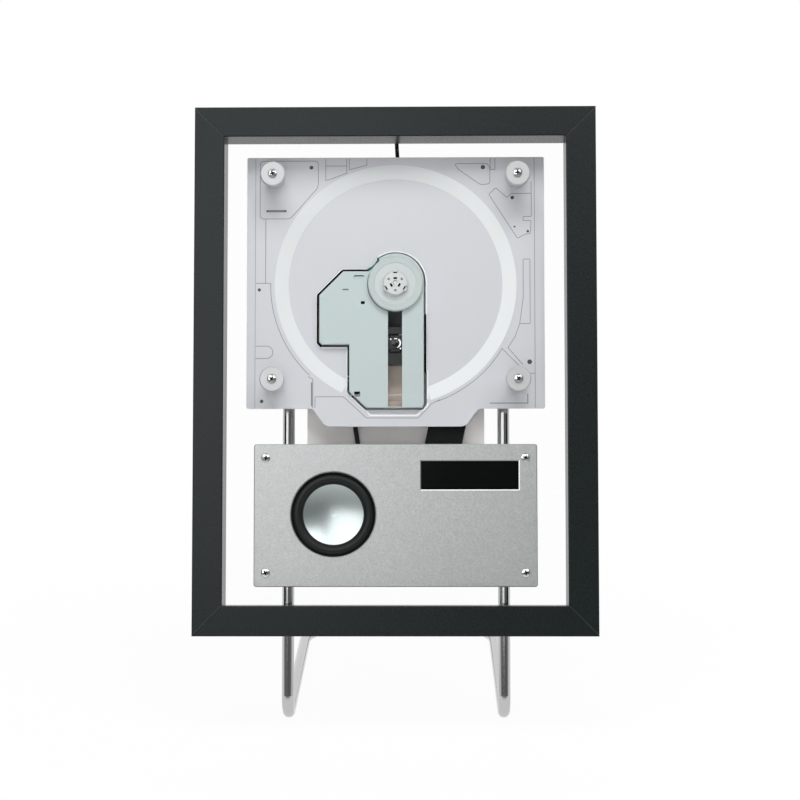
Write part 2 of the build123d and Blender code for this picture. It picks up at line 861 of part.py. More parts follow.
def speaker_surround():
    """The rubber half roll between the cone and the basket."""
    lip = 0.7
    outer = surround_radius - lip
    inner = cone_radius
    middle = (outer + inner) / 2
    crest = sheet_front - 0.6 - surround_rise
    rim_back = cone_rim_front - surround_thickness
    front_line = [
        Line((surround_radius, sheet_front), (surround_radius, sheet_front - 0.6)),
        Line((surround_radius, sheet_front - 0.6), (outer, sheet_front - 0.6)),
        ThreePointArc((outer, sheet_front - 0.6), (middle, crest), (inner, rim_back)),
        Line((inner, rim_back), (inner - lip, rim_back)),
        Line((inner - lip, rim_back), (inner - lip, cone_rim_front)),
        Line((inner - lip, cone_rim_front), (inner + surround_thickness, cone_rim_front)),
        Polyline(
            (inner + surround_thickness, cone_rim_front),
            (middle - 1.2, crest + surround_thickness + 0.2),
            (middle + 1.2, crest + surround_thickness + 0.2),
            (outer - surround_thickness, sheet_front),
            (surround_radius, sheet_front),
        ),
    ]
    return turned(speaker_x, speaker_z, make_face(front_line))


def speaker_cone():
    """The dished metal cone with the voice coil behind it."""
    front = cone_rim_front
    face_line = crown_arc(cone_radius, front, cone_dish)
    back = front + cone_thickness
    rear_line = Polyline(
        (0, back + cone_dish),
        (cone_radius / 2, back + cone_dish * 0.75 + 0.1),
        (cone_radius, back),
        (cone_radius, front),
    )
    middle = Line(face_line @ 1, rear_line @ 0)
    section = make_face([face_line, middle, rear_line])
    coil_front = front + cone_dish * 0.75
    coil_back = back + cone_dish + coil_length
    section += window(coil_radius - coil_wall / 2, coil_front, coil_radius + coil_wall / 2, coil_back)
    return turned(speaker_x, speaker_z, section)


# ---------------------------------------------------------------- rear housing
def housing_face():
    """The housing's outline with its bulge round the speaker."""
    height = housing_top - housing_bottom
    face = RectangleRounded(housing_width, height, housing_corner_radius)
    body = Pos(0, (housing_top + housing_bottom) / 2) * face
    return body + Pos(speaker_x, speaker_z) * Circle(speaker_bulge_radius)


def key_heights():
    """Heights of the keys up the side of the housing."""
    return [key_lowest_z + index * key_pitch for index in range(key_count)]


def rear_housing():
    """The moulded housing, open at the back, with posts, bosses and ports."""
    shell = slab(housing_face(), housing_front, housing_depth)
    shell -= slab(offset(housing_face(), -housing_wall), wall_back, housing_depth)
    for x, z in posts:
        shell += drum(x, z, post_radius, wall_back, housing_back - wall_back)
    for x, z in sheet_posts:
        shell += drum(x, z, sheet_boss_radius, sheet_back, housing_front - sheet_back)
        shell -= drum(x, z, bolt_hole_radius, sheet_back - 1, sheet_screw_length)
    for x, z in posts:
        shell -= drum(x, z, bolt_hole_radius, housing_back - cover_screw_length, cover_screw_length + 1)
    for x, z in board_posts():
        shell += drum(x, z, board_post_radius, wall_back, board_front - wall_back)
        shell -= drum(x, z, damper_screw_radius + bolt_clearance, board_front - 6, 7)
    shell -= drum(speaker_x, speaker_z, speaker_port_radius, housing_front - 1, housing_wall + 2)
    for x, z in ear_centres():
        shell -= drum(x, z, damper_screw_radius + 0.3, housing_front - 1, housing_wall + 2)
    wire_hole = Cylinder(grommet_radius - grommet_flange, 4 * housing_wall)
    shell -= Pos(aerial_x, aerial_exit_y, housing_top) * wire_hole
    shell -= Pos(jack_x, jack_depth_y, housing_bottom) * Cylinder(jack_nose_radius + 0.1, 4 * housing_wall)
    inlet_hole = Box(usb_width + 0.4, usb_height + 0.4, 4 * housing_wall)
    shell -= Pos(usb_x, jack_depth_y, housing_bottom) * inlet_hole
    for z in key_heights():
        hole = Box(4 * housing_wall, key_size_y + 2 * key_gap, key_size_z + 2 * key_gap)
        shell -= Pos(housing_side, key_depth_y, z) * hole
    for x, y, z in socket_screw_places():
        shell -= Pos(0, y, z) * Rot(0, 90, 0) * Cylinder(bolt_hole_radius, 2 * x + 2)
    shell += key_ledges()
    return shell - flat_cable_slot() - strip_cable_slot()


def key_board_span():
    """Lowest and highest edge of the key board."""
    return key_lowest_z - key_board_margin, key_heights()[-1] + key_board_margin


def key_board_front():
    """Side plane of the key board that faces the keys."""
    return housing_side - housing_wall - 0.4 - key_flange_thickness - key_travel - 0.1 - 1.0


def key_ledges():
    """Two ledges on the side wall that carry the key board."""
    low, high = key_board_span()
    side = housing_side - housing_wall / 2
    front = key_depth_y - 6
    back = key_depth_y + 6
    lower = block(key_board_front(), side, front, back, low, low + 1.2)
    upper = block(key_board_front(), side, front, back, high - 1.2, high)
    return lower + upper


def key_board():
    """The key board with a dome switch behind each key."""
    low, high = key_board_span()
    side = key_board_front()
    board = block(side - 1.2, side, key_depth_y - 6, key_depth_y + 6, low, high)
    for z in key_heights():
        board += Pos(side + 0.5, key_depth_y, z) * Rot(0, 90, 0) * Cylinder(2.2, 1.0)
    return board


def key_cap(z):
    """One key: a retaining flange inside and a cap through the side wall."""
    inner = housing_side - housing_wall - 0.4
    flange = Box(key_flange_thickness, key_size_y + 2 * key_flange_margin, key_size_z + 1.4)
    cap_length = housing_side + key_proud - inner
    cap = Box(cap_length, key_size_y, key_size_z)
    cap = fillet(cap.edges().filter_by(Axis.X), 0.8)
    cap = chamfer(cap.edges().group_by(Axis.X)[-1], 0.3)
    solid = Pos(inner - key_flange_thickness / 2, key_depth_y, z) * flange
    return solid + Pos(inner + cap_length / 2, key_depth_y, z) * cap


def board_posts():
    """Places of the posts under the main board."""
    x = board_width / 2 - board_post_inset
    heights = (board_bottom + board_post_inset, board_top - board_post_inset)
    return [(side * x, z) for side in (-1, 1) for z in heights]


def main_board():
    """The main board with its larger components."""
    half = board_width / 2
    board = block(-half, half, board_front, board_front + board_thickness, board_bottom, board_top)
    back = board_front + board_thickness
    for x, drop, wide, tall, high in board_chips:
        z = board_top - drop
        board += block(x - wide / 2, x + wide / 2, back, back + high, z - tall / 2, z + tall / 2)
    for x, lift, radius, high in board_capacitors:
        board += drum(x, board_bottom + lift, radius, back, high)
    for x, z in board_posts():
        board -= drum(x, z, damper_screw_radius + bolt_clearance, board_front - 1, board_thickness + 2)
    return board


def board_screws():
    """Screws that hold the main board."""
    back = board_front + board_thickness
    screws = []
    for x, z in board_posts():
        screw = drum(x, z, damper_screw_radius, board_front - 5, board_thickness + 5)
        screws.append(screw + drum(x, z, 2 * damper_screw_radius, back, 1.2))
    return screws


def battery_pack():
    """The battery, against the housing's front wall."""
    cell = block(
        -battery_length / 2,
        battery_length / 2,
        wall_back,
        wall_back + battery_thickness,
        battery_centre_z - battery_height / 2,
        battery_centre_z + battery_height / 2,
    )
    return fillet(cell.edges().filter_by(Axis.X), battery_edge_radius)


def audio_jack():
    """The headphone socket in the lower wall."""
    body_bottom = housing_bottom + housing_wall
    body = Pos(jack_x, jack_depth_y, body_bottom + 7) * Box(8, 7, 14)
    nose = upright_bar(jack_x, jack_depth_y, jack_nose_radius, housing_bottom - 0.6, body_bottom)
    bore_end = housing_bottom - 0.6 + jack_bore_depth
    bore = upright_bar(jack_x, jack_depth_y, jack_bore_radius, housing_bottom - 1, bore_end)
    return body + nose - bore


def usb_inlet():
    """The power inlet: a drawn shell with its tongue."""
    height = 7.5
    middle = housing_bottom + height / 2
    rounding = usb_height / 2 - 0.05
    outer = fillet(Box(usb_width, usb_height, height).edges().filter_by(Axis.Z), rounding)
    inner = Box(usb_width - 2 * usb_wall, usb_height - 2 * usb_wall, height)
    inner = fillet(inner.edges().filter_by(Axis.Z), rounding - usb_wall)
    shell = outer - Pos(0, 0, -1) * inner
    tongue = Box(usb_width - 2.4, 0.7, height - 1.5)
    return Pos(usb_x, jack_depth_y, middle) * (shell + tongue)


def socket_board():
    """The small board behind the headphone socket and the power inlet."""
    front = jack_depth_y + 3.5
    foot = housing_bottom
    board = block(usb_x - 8, jack_x + 7, front, front + 1.2, foot + housing_wall + 0.3, foot + 20)
    bridge = block(usb_x - 3, usb_x + 3, jack_depth_y + usb_height / 2, front, foot + 3, foot + 7)
    return board + bridge


def keyhole_face(grow=0.0):
    """Both keyholes of the rear cover."""
    face = Sketch()
    for side in (-1, 1):
        x = side * keyhole_spacing / 2
        face += Pos(x, keyhole_z) * Circle(keyhole_entry_radius + grow)
        width = 2 * (keyhole_slot_radius + grow)
        face += slot_between((x, keyhole_z), (x, keyhole_z + keyhole_travel), width)
    return face


def rear_cover():
    """The rear cover with vents and pocketed keyholes."""
    cover = slab(housing_face(), housing_back, cover_thickness)
    cover = chamfer(cover.edges().group_by(Axis.Y)[-1], 0.6)
    pocket_front = housing_back - keyhole_pocket_depth
    for side in (-1, 1):
        x = side * keyhole_spacing / 2
        reach = keyhole_entry_radius + keyhole_pocket_wall + 0.6
        top = keyhole_z + keyhole_travel + keyhole_entry_radius + 0.6 + keyhole_pocket_wall
        boss = block(x - reach, x + reach, pocket_front, housing_back, keyhole_z - reach, top)
        inner = reach - keyhole_pocket_wall
        boss -= block(
            x - inner,
            x + inner,
            pocket_front + keyhole_pocket_wall,
            housing_back,
            keyhole_z - inner,
            top - keyhole_pocket_wall,
        )
        cover += boss
    cover -= slab(keyhole_face(), housing_back - 0.01, cover_thickness + 1)
    for index in range(vent_count):
        x = (index - (vent_count - 1) / 2) * vent_pitch
        half = vent_length / 2
        slot = slot_between((x, vent_centre_z - half), (x, vent_centre_z + half), vent_width)
        cover -= slab(slot, housing_back - 1, cover_thickness + 2)
    for x, z in posts:
        cover -= drum(x, z, bolt_hole_radius, housing_back - 1, cover_thickness + 2)
        cover -= drum(x, z, bolt_head_radius + 0.3, cover_back - 1, 2)
    return cover


def cover_screws():
    """Screws that hold the rear cover."""
    seat = cover_back - 1
    screws = []
    for x, z in posts:
        tip = housing_back - cover_screw_length + 1
        screw = drum(x, z, bolt_radius, tip, seat - tip)
        head = drum(x, z, bolt_head_radius, seat, bolt_head_height)
        recess = slab(Pos(x, z) * (Rectangle(2.6, 0.6) + Rectangle(0.6, 2.6)), seat + 0.6, 1)
        screws.append(screw + head - recess)
    return screws


# --------------------------------------------------------------------- mechanism
def sled_window_face():
    """The opening in the base that the sled travels in."""
    return about_spindle(window(-sled_window_left, -sled_window_bottom, sled_window_right, -sled_window_top))


def slot_face():
    """The slot that the lens looks through, from the turntable to the foot of the plate."""
    return about_spindle(
        window(slot_centre_x - slot_width / 2, -slot_foot, slot_centre_x + slot_width / 2, 0)
    )


def mechanism_plate():
    """The pressed plate: a flat face with a rim folded back all round."""
    face = about_spindle(mechanism_face())
    plate = slab(face, mechanism_front, mechanism_rim)
    plate = fillet(front_edges(plate), mechanism_edge_radius)
    inner = about_spindle(offset(mechanism_face(), -mechanism_sheet))
    plate -= slab(inner, mechanism_front + mechanism_sheet, mechanism_rim)
    cuts = slot_face() + about_spindle(Circle(motor_window_radius))
    for start, end, width in mechanism_slots:
        cuts += about_spindle(slot_between(start, end, width))
    for x, z, width, height in mechanism_holes:
        cuts += about_spindle(Pos(x, z) * Rectangle(width, height))
    return plate - slab(cuts, mechanism_front - 1, mechanism_sheet + 2)


def ear_centres():
    """Places of the base's ears."""
    return [(x, spindle_height + z) for x, z, _ in base_ears]


def base_skirt():
    """The base's thin dark skirt, which closes the gap round the mechanism plate at its upper part."""
    left = window(-mechanism_wing_left - 10, base_skirt_left[0], mechanism_notch[0] - 3, base_skirt_left[1])
    right = window(guide_x, base_skirt_right[0], mechanism_right + 10, base_skirt_right[1])
    around = offset(mechanism_face(), base_skirt_reach)
    front = base_back - base_skirt_thickness
    return slab(about_spindle(around & left), front, base_skirt_thickness) + slab(
        about_spindle(around & right), front, base_skirt_thickness
    )


def mechanism_base():
    """The moulded base behind the mechanism plate, with the ears that the dampers sit on."""
    depth = base_back - base_front
    base = slab(about_spindle(offset(mechanism_face(), -base_inset)), base_front, depth)
    for x, z, anchor in base_ears:
        ear = slot_between((x, z), (anchor, z), 2 * base_ear_radius)
        base += slab(about_spindle(ear), base_back - base_ear_thickness, base_ear_thickness)
    base += base_skirt()
    base -= slab(sled_window_face(), base_front - 1, depth + 2)
    bearing = about_spindle(window(-mechanism_leg_left, -screw_bottom - 1, screw_x + 3, 2 - screw_bottom))
    base += slab(bearing, base_front, depth) & slab(
        about_spindle(offset(mechanism_face(), -base_inset)), base_front, depth
    )
    base -= drum(0, spindle_height, motor_radius + 0.4, base_front - 1, depth + 2)
    motor_top = sled_motor_length - sled_motor_bottom
    base -= slab(
        about_spindle(
            window(
                screw_x - sled_motor_radius - 0.3,
                -sled_motor_bottom - 1,
                screw_x + sled_motor_radius + 0.3,
                motor_top + 0.3,
            )
        ),
        base_front - 1,
        depth + 2,
    )
    for x, radius in guides():
        bore = radius + running_clearance
        base -= upright_bar(x, guide_depth, bore, spindle_height - guide_bottom, spindle_height)
    bearing_foot = spindle_height - screw_bottom - screw_bearing_length / 2
    base -= upright_bar(
        screw_x,
        guide_depth,
        screw_radius + running_clearance,
        bearing_foot,
        bearing_foot + 2 * screw_bearing_length,
    )
    for x, z in ear_centres():
        base -= drum(x, z, damper_screw_radius + running_clearance, base_front, depth + 1)
    return base


def guides():
    """Side place and radius of each guide rod."""
    return ((-guide_x, guide_radius), (guide_x, guide_side_radius))


def guide_top():
    """Upper end of the guide rods, clear of the spindle motor."""
    return spindle_height - sled_window_top + 1.4


def guide_rods():
    """The main and the side guide rod."""
    bottom = spindle_height - guide_bottom
    return [upright_bar(x, guide_depth, radius, bottom, guide_top()) for x, radius in guides()]


def dampers():
    """Rubber rings between the base's ears and the housing."""
    return [
        ring(x, z, damper_radius, damper_screw_radius + 0.2, base_back, housing_front - base_back)
        for x, z in ear_centres()
    ]


def damper_screws():
    """Screws from inside the housing into the base's ears."""
    screws = []
    for x, z in ear_centres():
        shank_length = wall_back - base_back + base_ear_thickness
        shank = drum(x, z, damper_screw_radius, base_back - base_ear_thickness + 0.1, shank_length)
        screws.append(shank + drum(x, z, 2.2 * damper_screw_radius, wall_back, 1.4))
    return screws


def motor_board():
    """The board round the spindle motor, which shows at the edge of the mechanism plate."""
    reach = motor_board_radius
    notch = window(mechanism_notch_end - 2, mechanism_wing_top - 0.5, mechanism_notch[0] + 1.5, reach)
    around = offset(mechanism_face(), -mechanism_sheet)
    around += offset(mechanism_face(), motor_board_reach) & notch
    near = around & Circle(reach) & window(-reach, -motor_board_bottom, reach, reach)
    board = slab(about_spindle(near), base_front - 1.0, 1.0)
    board -= drum(0, spindle_height, motor_radius + running_clearance, base_front - 2, 3)
    board -= slab(sled_window_face(), base_front - 2, 3)
    return board - slab(
        about_spindle(
            window(
                screw_x - sled_motor_radius - 0.3,
                -sled_motor_bottom - 1,
                screw_x + sled_motor_radius + 0.3,
                sled_motor_length - sled_motor_bottom + 0.3,
            )
        ),
        base_front - 2,
        3,
    )


def spindle_motor():
    """The flat spindle motor with its bearing bore."""
    motor = drum(0, spindle_height, motor_radius, motor_front, motor_back - motor_front)
    motor = chamfer(front_edges(motor), motor_edge_chamfer)
    bore_depth = motor_back - motor_front - 0.5
    return motor - drum(0, spindle_height, spindle_radius + running_clearance, motor_front, bore_depth)


def spindle_shaft():
    """The spindle, from the hub into the motor."""
    return drum(0, spindle_height, spindle_radius, hub_front + 0.4, motor_back - 0.6 - hub_front - 0.4)


def turntable():
    """The turntable with the groove for its mat and the boss behind it."""
    disc = drum(0, spindle_height, turntable_radius, turntable_front, turntable_thickness)
    disc = chamfer(front_edges(disc), 0.4)
    disc -= ring(
        0,
        spindle_height,
        mat_inner_radius + mat_width,
        mat_inner_radius,
        turntable_front - 1,
        1 + mat_thickness - mat_proud,
    )
    back = turntable_front + turntable_thickness
    disc += drum(0, spindle_height, turntable_boss_radius, back, motor_front - 0.15 - back)
    return disc - drum(0, spindle_height, spindle_radius + 0.02, turntable_front - 1, motor_front)


def turntable_mat():
    """The rubber ring that the disc rests on."""
    outer = mat_inner_radius + mat_width - 0.05
    return ring(0, spindle_height, outer, mat_inner_radius + 0.05, disc_seat, mat_thickness)


def round_the_hub(solid, angle):
    """Turns a solid drawn along +X to an angle round the spindle."""
    return Pos(0, 0, spindle_height) * Rot(0, -angle, 0) * solid


def disc_hub():
    """The hub that centres the disc, slotted for its three claws."""
    hub = drum(0, spindle_height, hub_radius - hub_crown_step, hub_front, hub_height)
    hub = chamfer(front_edges(hub), hub_edge_chamfer)
    hub += drum(0, spindle_height, hub_radius, turntable_front - hub_seat_height, hub_seat_height)
    inner = hub_radius + claw_nose - claw_length - claw_travel - 0.25
    for angle in claw_angles:
        slot = block(
            inner,
            hub_radius + 1,
            hub_front - 1,
            hub_front + claw_setback + claw_height + claw_gap,
            -claw_width / 2 - claw_gap,
            claw_width / 2 + claw_gap,
        )
        hub -= round_the_hub(slot, angle)
        dimple = drum(hub_dimple_radius, 0, 0.55, hub_front - 1, 1.8)
        hub -= round_the_hub(dimple, angle + 60)
        near = hub_slot_radius - hub_slot_height / 2
        far = hub_slot_radius + hub_slot_height / 2
        half = hub_slot_width / 2
        hub -= round_the_hub(block(near, far, hub_front - 1, hub_front + 0.8, -half, half), angle)
    return hub - drum(0, spindle_height, spindle_radius + 0.02, hub_front - 1, hub_height + 2)


def hub_claw(angle):
    """One claw: a block with a bevelled nose that snaps over the edge of the disc's hole."""
    front = hub_front + claw_setback
    tip = hub_radius + claw_nose
    side = Polygon(
        (tip - claw_length, front),
        (tip - claw_nose, front),
        (tip, front + claw_height * 0.6),
        (tip, front + claw_height),
        (tip - claw_length, front + claw_height),
        align=None,
    )
    claw = extrude(side, amount=claw_width / 2, both=True)
    return round_the_hub(claw, angle)


def sled_motor():
    """The stepper that turns the lead screw."""
    bottom = spindle_height - sled_motor_bottom
    motor = upright_bar(screw_x, guide_depth, sled_motor_radius, bottom, bottom + sled_motor_length)
    bore = screw_radius + running_clearance
    return motor - upright_bar(screw_x, guide_depth, bore, bottom - 1, bottom + 1.5)


def lead_screw():
    """The lead screw, from its lower bearing to the motor."""
    return upright_bar(
        screw_x,
        guide_depth,
        screw_radius,
        spindle_height - screw_bottom - 0.8,
        spindle_height - sled_motor_bottom + 1.3,
    )


def pickup_sled():
    """The sled: a moulded body on the guide rods, a nut arm on the screw and a tail."""
    half = sled_width / 2
    top = lens_z + sled_above_lens
    bottom = lens_z - sled_below_lens
    body = block(-half, half, sled_front + 0.8, sled_back, bottom, top)
    body += block(-half + 1, half - 1, sled_front, sled_back - 1, bottom, top)
    body += block(-5.2, 4.7, sled_front, sled_front + sled_tail_depth, lens_z - sled_tail, top)
    for end in (bottom + 2, top - 5):
        body += block(-guide_x - 2.3, 2 - half, guide_depth - 2.4, guide_depth + 2.4, end - 2, end + 5)
    body += block(half - 2, guide_x + 1.7, guide_depth - 2.2, guide_depth + 2.2, lens_z - 3, lens_z + 3)
    body += block(screw_x + 1.0, 1 - guide_x, guide_depth - 2.0, guide_depth + 2.0, lens_z + 3, lens_z + 8)
    for x, radius in guides():
        body -= upright_bar(x, guide_depth, radius + running_clearance, bottom - 5, top + 5)
    body -= upright_bar(screw_x, guide_depth, screw_radius + 0.3, bottom - 5, top + 5)
    body -= block(
        slot_centre_x - holder_width / 2 - holder_gap,
        slot_centre_x + holder_width / 2 + holder_gap,
        sled_front - 1,
        holder_front + holder_thickness + focus_travel + 0.4,
        lens_z - holder_height / 2 - holder_gap,
        lens_z + holder_height / 2 + holder_gap,
    )
    return body


def lens_holder():
    """The lens holder with its focus and tracking coils at each end."""
    half_width = holder_width / 2
    half_height = holder_height / 2
    back = holder_front + holder_thickness
    centre = slot_centre_x
    foot, head = lens_z - half_height, lens_z + half_height
    core = block(centre - half_width, centre + half_width, holder_front, back, foot + 1.4, head - 1.4)
    coils = block(centre - 2.6, centre + 2.6, holder_front + 0.5, back, foot, head)
    holder = core + coils
    return holder - drum(centre, lens_z, lens_radius - 0.5, holder_front - 1, holder_thickness + 2)


def objective_lens():
    """The objective lens: a rim with a crowned front."""
    outline = [
        crown_arc(lens_radius - 0.3, 0, -lens_crown),
        Line((lens_radius - 0.3, 0), (lens_radius, 0)),
        Line((lens_radius, 0), (lens_radius, lens_rim)),
        Line((lens_radius, lens_rim), (0, lens_rim)),
        Line((0, lens_rim), (0, -lens_crown)),
    ]
    return turned(slot_centre_x, lens_z, Pos(0, lens_front) * make_face(outline))


# --------------------------------------------------------------- wires and cables
def cable_strip(width, top, bottom, bend_front, bend_back):
    """A flat cable with its upper end bent back and its lower end bent forward."""
    front = cable_front
    back = front + cable_thickness
    profile = [
        (front, bottom),
        (front, top),
        (bend_back, top),
        (bend_back, top - cable_thickness),
        (back, top - cable_thickness),
        (back, bottom),
    ]
    if bend_front < front:
        profile = profile[:-1] + [
            (back, bottom - cable_thickness),
            (bend_front, bottom - cable_thickness),
            (bend_front, bottom),
        ]
    return extrude(Plane.YZ.offset(-width / 2) * Polygon(*profile, align=None), amount=width, dir=(1, 0, 0))


def slanted(solid, x, slant):
    """Turns a cable drawn upright about its middle to its slant."""
    return Pos(x, 0, cable_centre_z) * Rot(0, slant, 0) * Pos(0, 0, -cable_centre_z) * solid


def flat_cable():
    """The wide flat cable from the housing to the display board."""
    end = panel_front + display_lens_setback + display_lens_thickness + display_board_thickness
    strip = cable_strip(flat_cable_width, flat_cable_top, flat_cable_bottom, end, wall_back + cable_tail)
    return slanted(strip, flat_cable_x, flat_cable_slant)


def flat_cable_slot():
    """Slots in the clear sheet and the housing's front wall that the flat cable passes."""
    half = flat_cable_width / 2 + cable_slot_gap
    gap = cable_thickness + cable_slot_gap
    foot, head = flat_cable_bottom, flat_cable_top
    lower = block(-half, half, sheet_front - 1, sheet_back + 0.1, foot - gap, foot + cable_slot_gap)
    upper = block(-half, half, housing_front - 0.5, wall_back + 1, head - gap, head + cable_slot_gap)
    return slanted(lower + upper, flat_cable_x, flat_cable_slant)


def strip_cable():
    """The narrow strip cable from the housing to the speaker."""
    tail = wall_back + cable_tail
    strip = cable_strip(strip_cable_width, strip_cable_top, strip_cable_bottom, cable_front, tail)
    return slanted(strip, strip_cable_x, strip_cable_slant)


def strip_cable_slot():
    """The slot in the housing's front wall that the strip cable passes."""
    half = strip_cable_width / 2 + cable_slot_gap
    gap = cable_thickness + cable_slot_gap
    foot, head = strip_cable_top - gap, strip_cable_top + cable_slot_gap
    slot = block(-half, half, housing_front - 0.5, wall_back + 1, foot, head)
    return slanted(slot, strip_cable_x, strip_cable_slant)


def aerial_wire():
    """The wire aerial: up behind the clear sheet and along the back of the top rail."""
    rail_y = frame_depth + aerial_standoff
    points = [
        (aerial_x, aerial_exit_y, housing_top - aerial_tail),
        (aerial_x, aerial_exit_y, housing_top + aerial_rise),
        (aerial_x - 1.0, rail_y, aerial_rail_z - aerial_lead),
        (aerial_x - 1.4, rail_y, aerial_rail_z),
        (aerial_end_x, rail_y, aerial_rail_z),
    ]
    route = FilletPolyline(*points, radius=[aerial_rise_radius, aerial_rise_radius, aerial_turn_radius])
    wire = sweep(Plane(origin=points[0], z_dir=(0, 0, 1)) * Circle(aerial_radius), path=route)
    tip = Pos(aerial_end_x + aerial_tip_length / 2, rail_y, aerial_rail_z) * Rot(0, 90, 0)
    return wire + tip * Cylinder(aerial_tip_radius, aerial_tip_length)


def wire_clips():
    """Moulded clips on the back of the top rail."""
    rail_y = frame_depth + aerial_standoff
    clips = []
    first = aerial_x + aerial_turn_radius + clip_first_inset
    pitch = (aerial_end_x - clip_last_inset - first) / (clip_count - 1)
    for index in range(clip_count):
        x = first + index * pitch
        half = clip_width / 2
        foot, head = aerial_rail_z - half, aerial_rail_z + half
        clip = block(x - half, x + half, frame_depth, rail_y, foot, head)
        along = Pos(x, rail_y, aerial_rail_z) * Rot(0, 90, 0)
        round_back = along * Cylinder(aerial_radius + 1.1, clip_width)
        clip += round_back & block(x - half, x + half, frame_depth, rail_y + 5, foot, head)
        clips.append(
            clip - along * Cylinder(aerial_radius + running_clearance, clip_width + 2)
        )
    return clips


def wire_grommet():
    """The grommet in the housing's top wall."""
    low = housing_top - housing_wall
    neck = grommet_radius - grommet_flange
    body = upright_bar(aerial_x, aerial_exit_y, neck - 0.05, low, housing_top)
    body += upright_bar(aerial_x, aerial_exit_y, grommet_radius, low - grommet_flange, low)
    body += upright_bar(aerial_x, aerial_exit_y, grommet_radius, housing_top, housing_top + grommet_flange)
    bore = aerial_radius + running_clearance
    return body - upright_bar(aerial_x, aerial_exit_y, bore, low - 5, housing_top + 5)


# ------------------------------------------------------------------------- stand
def stand_sockets():
    """Blind sockets on the housing's sides that the rod's ends push into."""
    radius = rod_radius + socket_clearance
    outer = radius + socket_wall
    bottom = rod_top_z - socket_length
    top = rod_top_z + socket_cap
    sockets = []
    for side in (-1, 1):
        socket = upright_bar(side * rod_x, rod_y, outer, bottom, top)
        inner = housing_side + socket_flange
        flange_front = rod_y - outer - 2
        flange_back = rod_y + outer + 6
        plates = [(housing_side, inner, flange_front, flange_back), (inner, rod_x, rod_y - 2.5, rod_y + 2.5)]
        for near, far, front, back in plates:
            left, right = sorted((side * near, side * far))
            socket += block(left, right, front, back, bottom, top)
        socket -= upright_bar(side * rod_x, rod_y, radius, bottom - 1, rod_top_z + 0.1)
        for x, y, z in socket_screw_places():
            socket -= Pos(side * x, y, z) * Rot(0, 90, 0) * Cylinder(bolt_hole_radius, 4 * socket_flange)
        sockets.append(socket)
    return sockets


def socket_screw_places():
    """Places of the screws through the socket flanges."""
    y = rod_y + rod_radius + socket_clearance + socket_wall + 3
    foot = rod_top_z - socket_length
    return [(housing_side, y, foot + inset) for inset in (8, socket_length + socket_cap - 8)]


def socket_screws():
    """Screws that hold the sockets to the housing."""
    screws = []
    for side in (-1, 1):
        for x, y, z in socket_screw_places():
            seat = x + socket_flange
            shank = Pos(side * (seat - 3.2), y, z) * Rot(0, 90, 0) * Cylinder(bolt_radius, 6.4)
            head = Pos(side * (seat + 0.7), y, z) * Rot(0, 90, 0) * Cylinder(socket_screw_head, 1.4)
            screws.append(shank + head)
    return screws


def rod_saddles():
    """Rubber saddles on the lower rail that the rods lie in."""
    groove = rod_radius + rod_gap
    middle = -frame_height / 2 + (rail_face - rabbet_width) / 2
    saddles = []
    for side in (-1, 1):
        x = side * rod_x
        half = saddle_width / 2
        rise = saddle_height / 2
        pad = block(x - half, x + half, frame_depth, rod_y, middle - rise, middle + rise)
        saddles.append(pad - upright_bar(x, rod_y, groove, middle - saddle_height, middle + saddle_height))
    return saddles


def frame_centre_height():
    """Height of the frame's centre above the floor once it leans back."""
    return foot_clearance + frame_height / 2 * math.cos(math.radians(lean_angle))


def lean_back(solid):
    """Tilts the player back about the frame's centre and lifts it over the floor."""
    return Pos(0, 0, frame_centre_height()) * Rot(-lean_angle, 0, 0) * solid


def leaned_point(x, y, z):
    """Where a point of the upright drawing comes to lie."""
    angle = math.radians(lean_angle)
    depth = y * math.cos(angle) + z * math.sin(angle)
    height = z * math.cos(angle) - y * math.sin(angle)
    return (x, depth, height + frame_centre_height())


def stand_rod():
    """One bent rod: two uprights, two feet and the rounded floor loop."""
    angle = math.radians(lean_angle)
    top = leaned_point(rod_x, rod_y, rod_top_z)
    drop = (top[2] - rod_radius) / math.cos(angle)
    foot_y = top[1] - drop * math.sin(angle)
    rear_y = foot_y + rod_floor_run
    points = [
        top,
        (rod_x, foot_y, rod_radius),
        (rod_x, rear_y, rod_radius),
        (-rod_x, rear_y, rod_radius),
        (-rod_x, foot_y, rod_radius),
        (-top[0], top[1], top[2]),
    ]
    bends = [rod_foot_radius, rod_rear_radius, rod_rear_radius, rod_foot_radius]
    route = FilletPolyline(*points, radius=bends)
    downwards = (0, -math.sin(angle), -math.cos(angle))
    return sweep(Plane(origin=top, z_dir=downwards) * Circle(rod_radius), path=route)


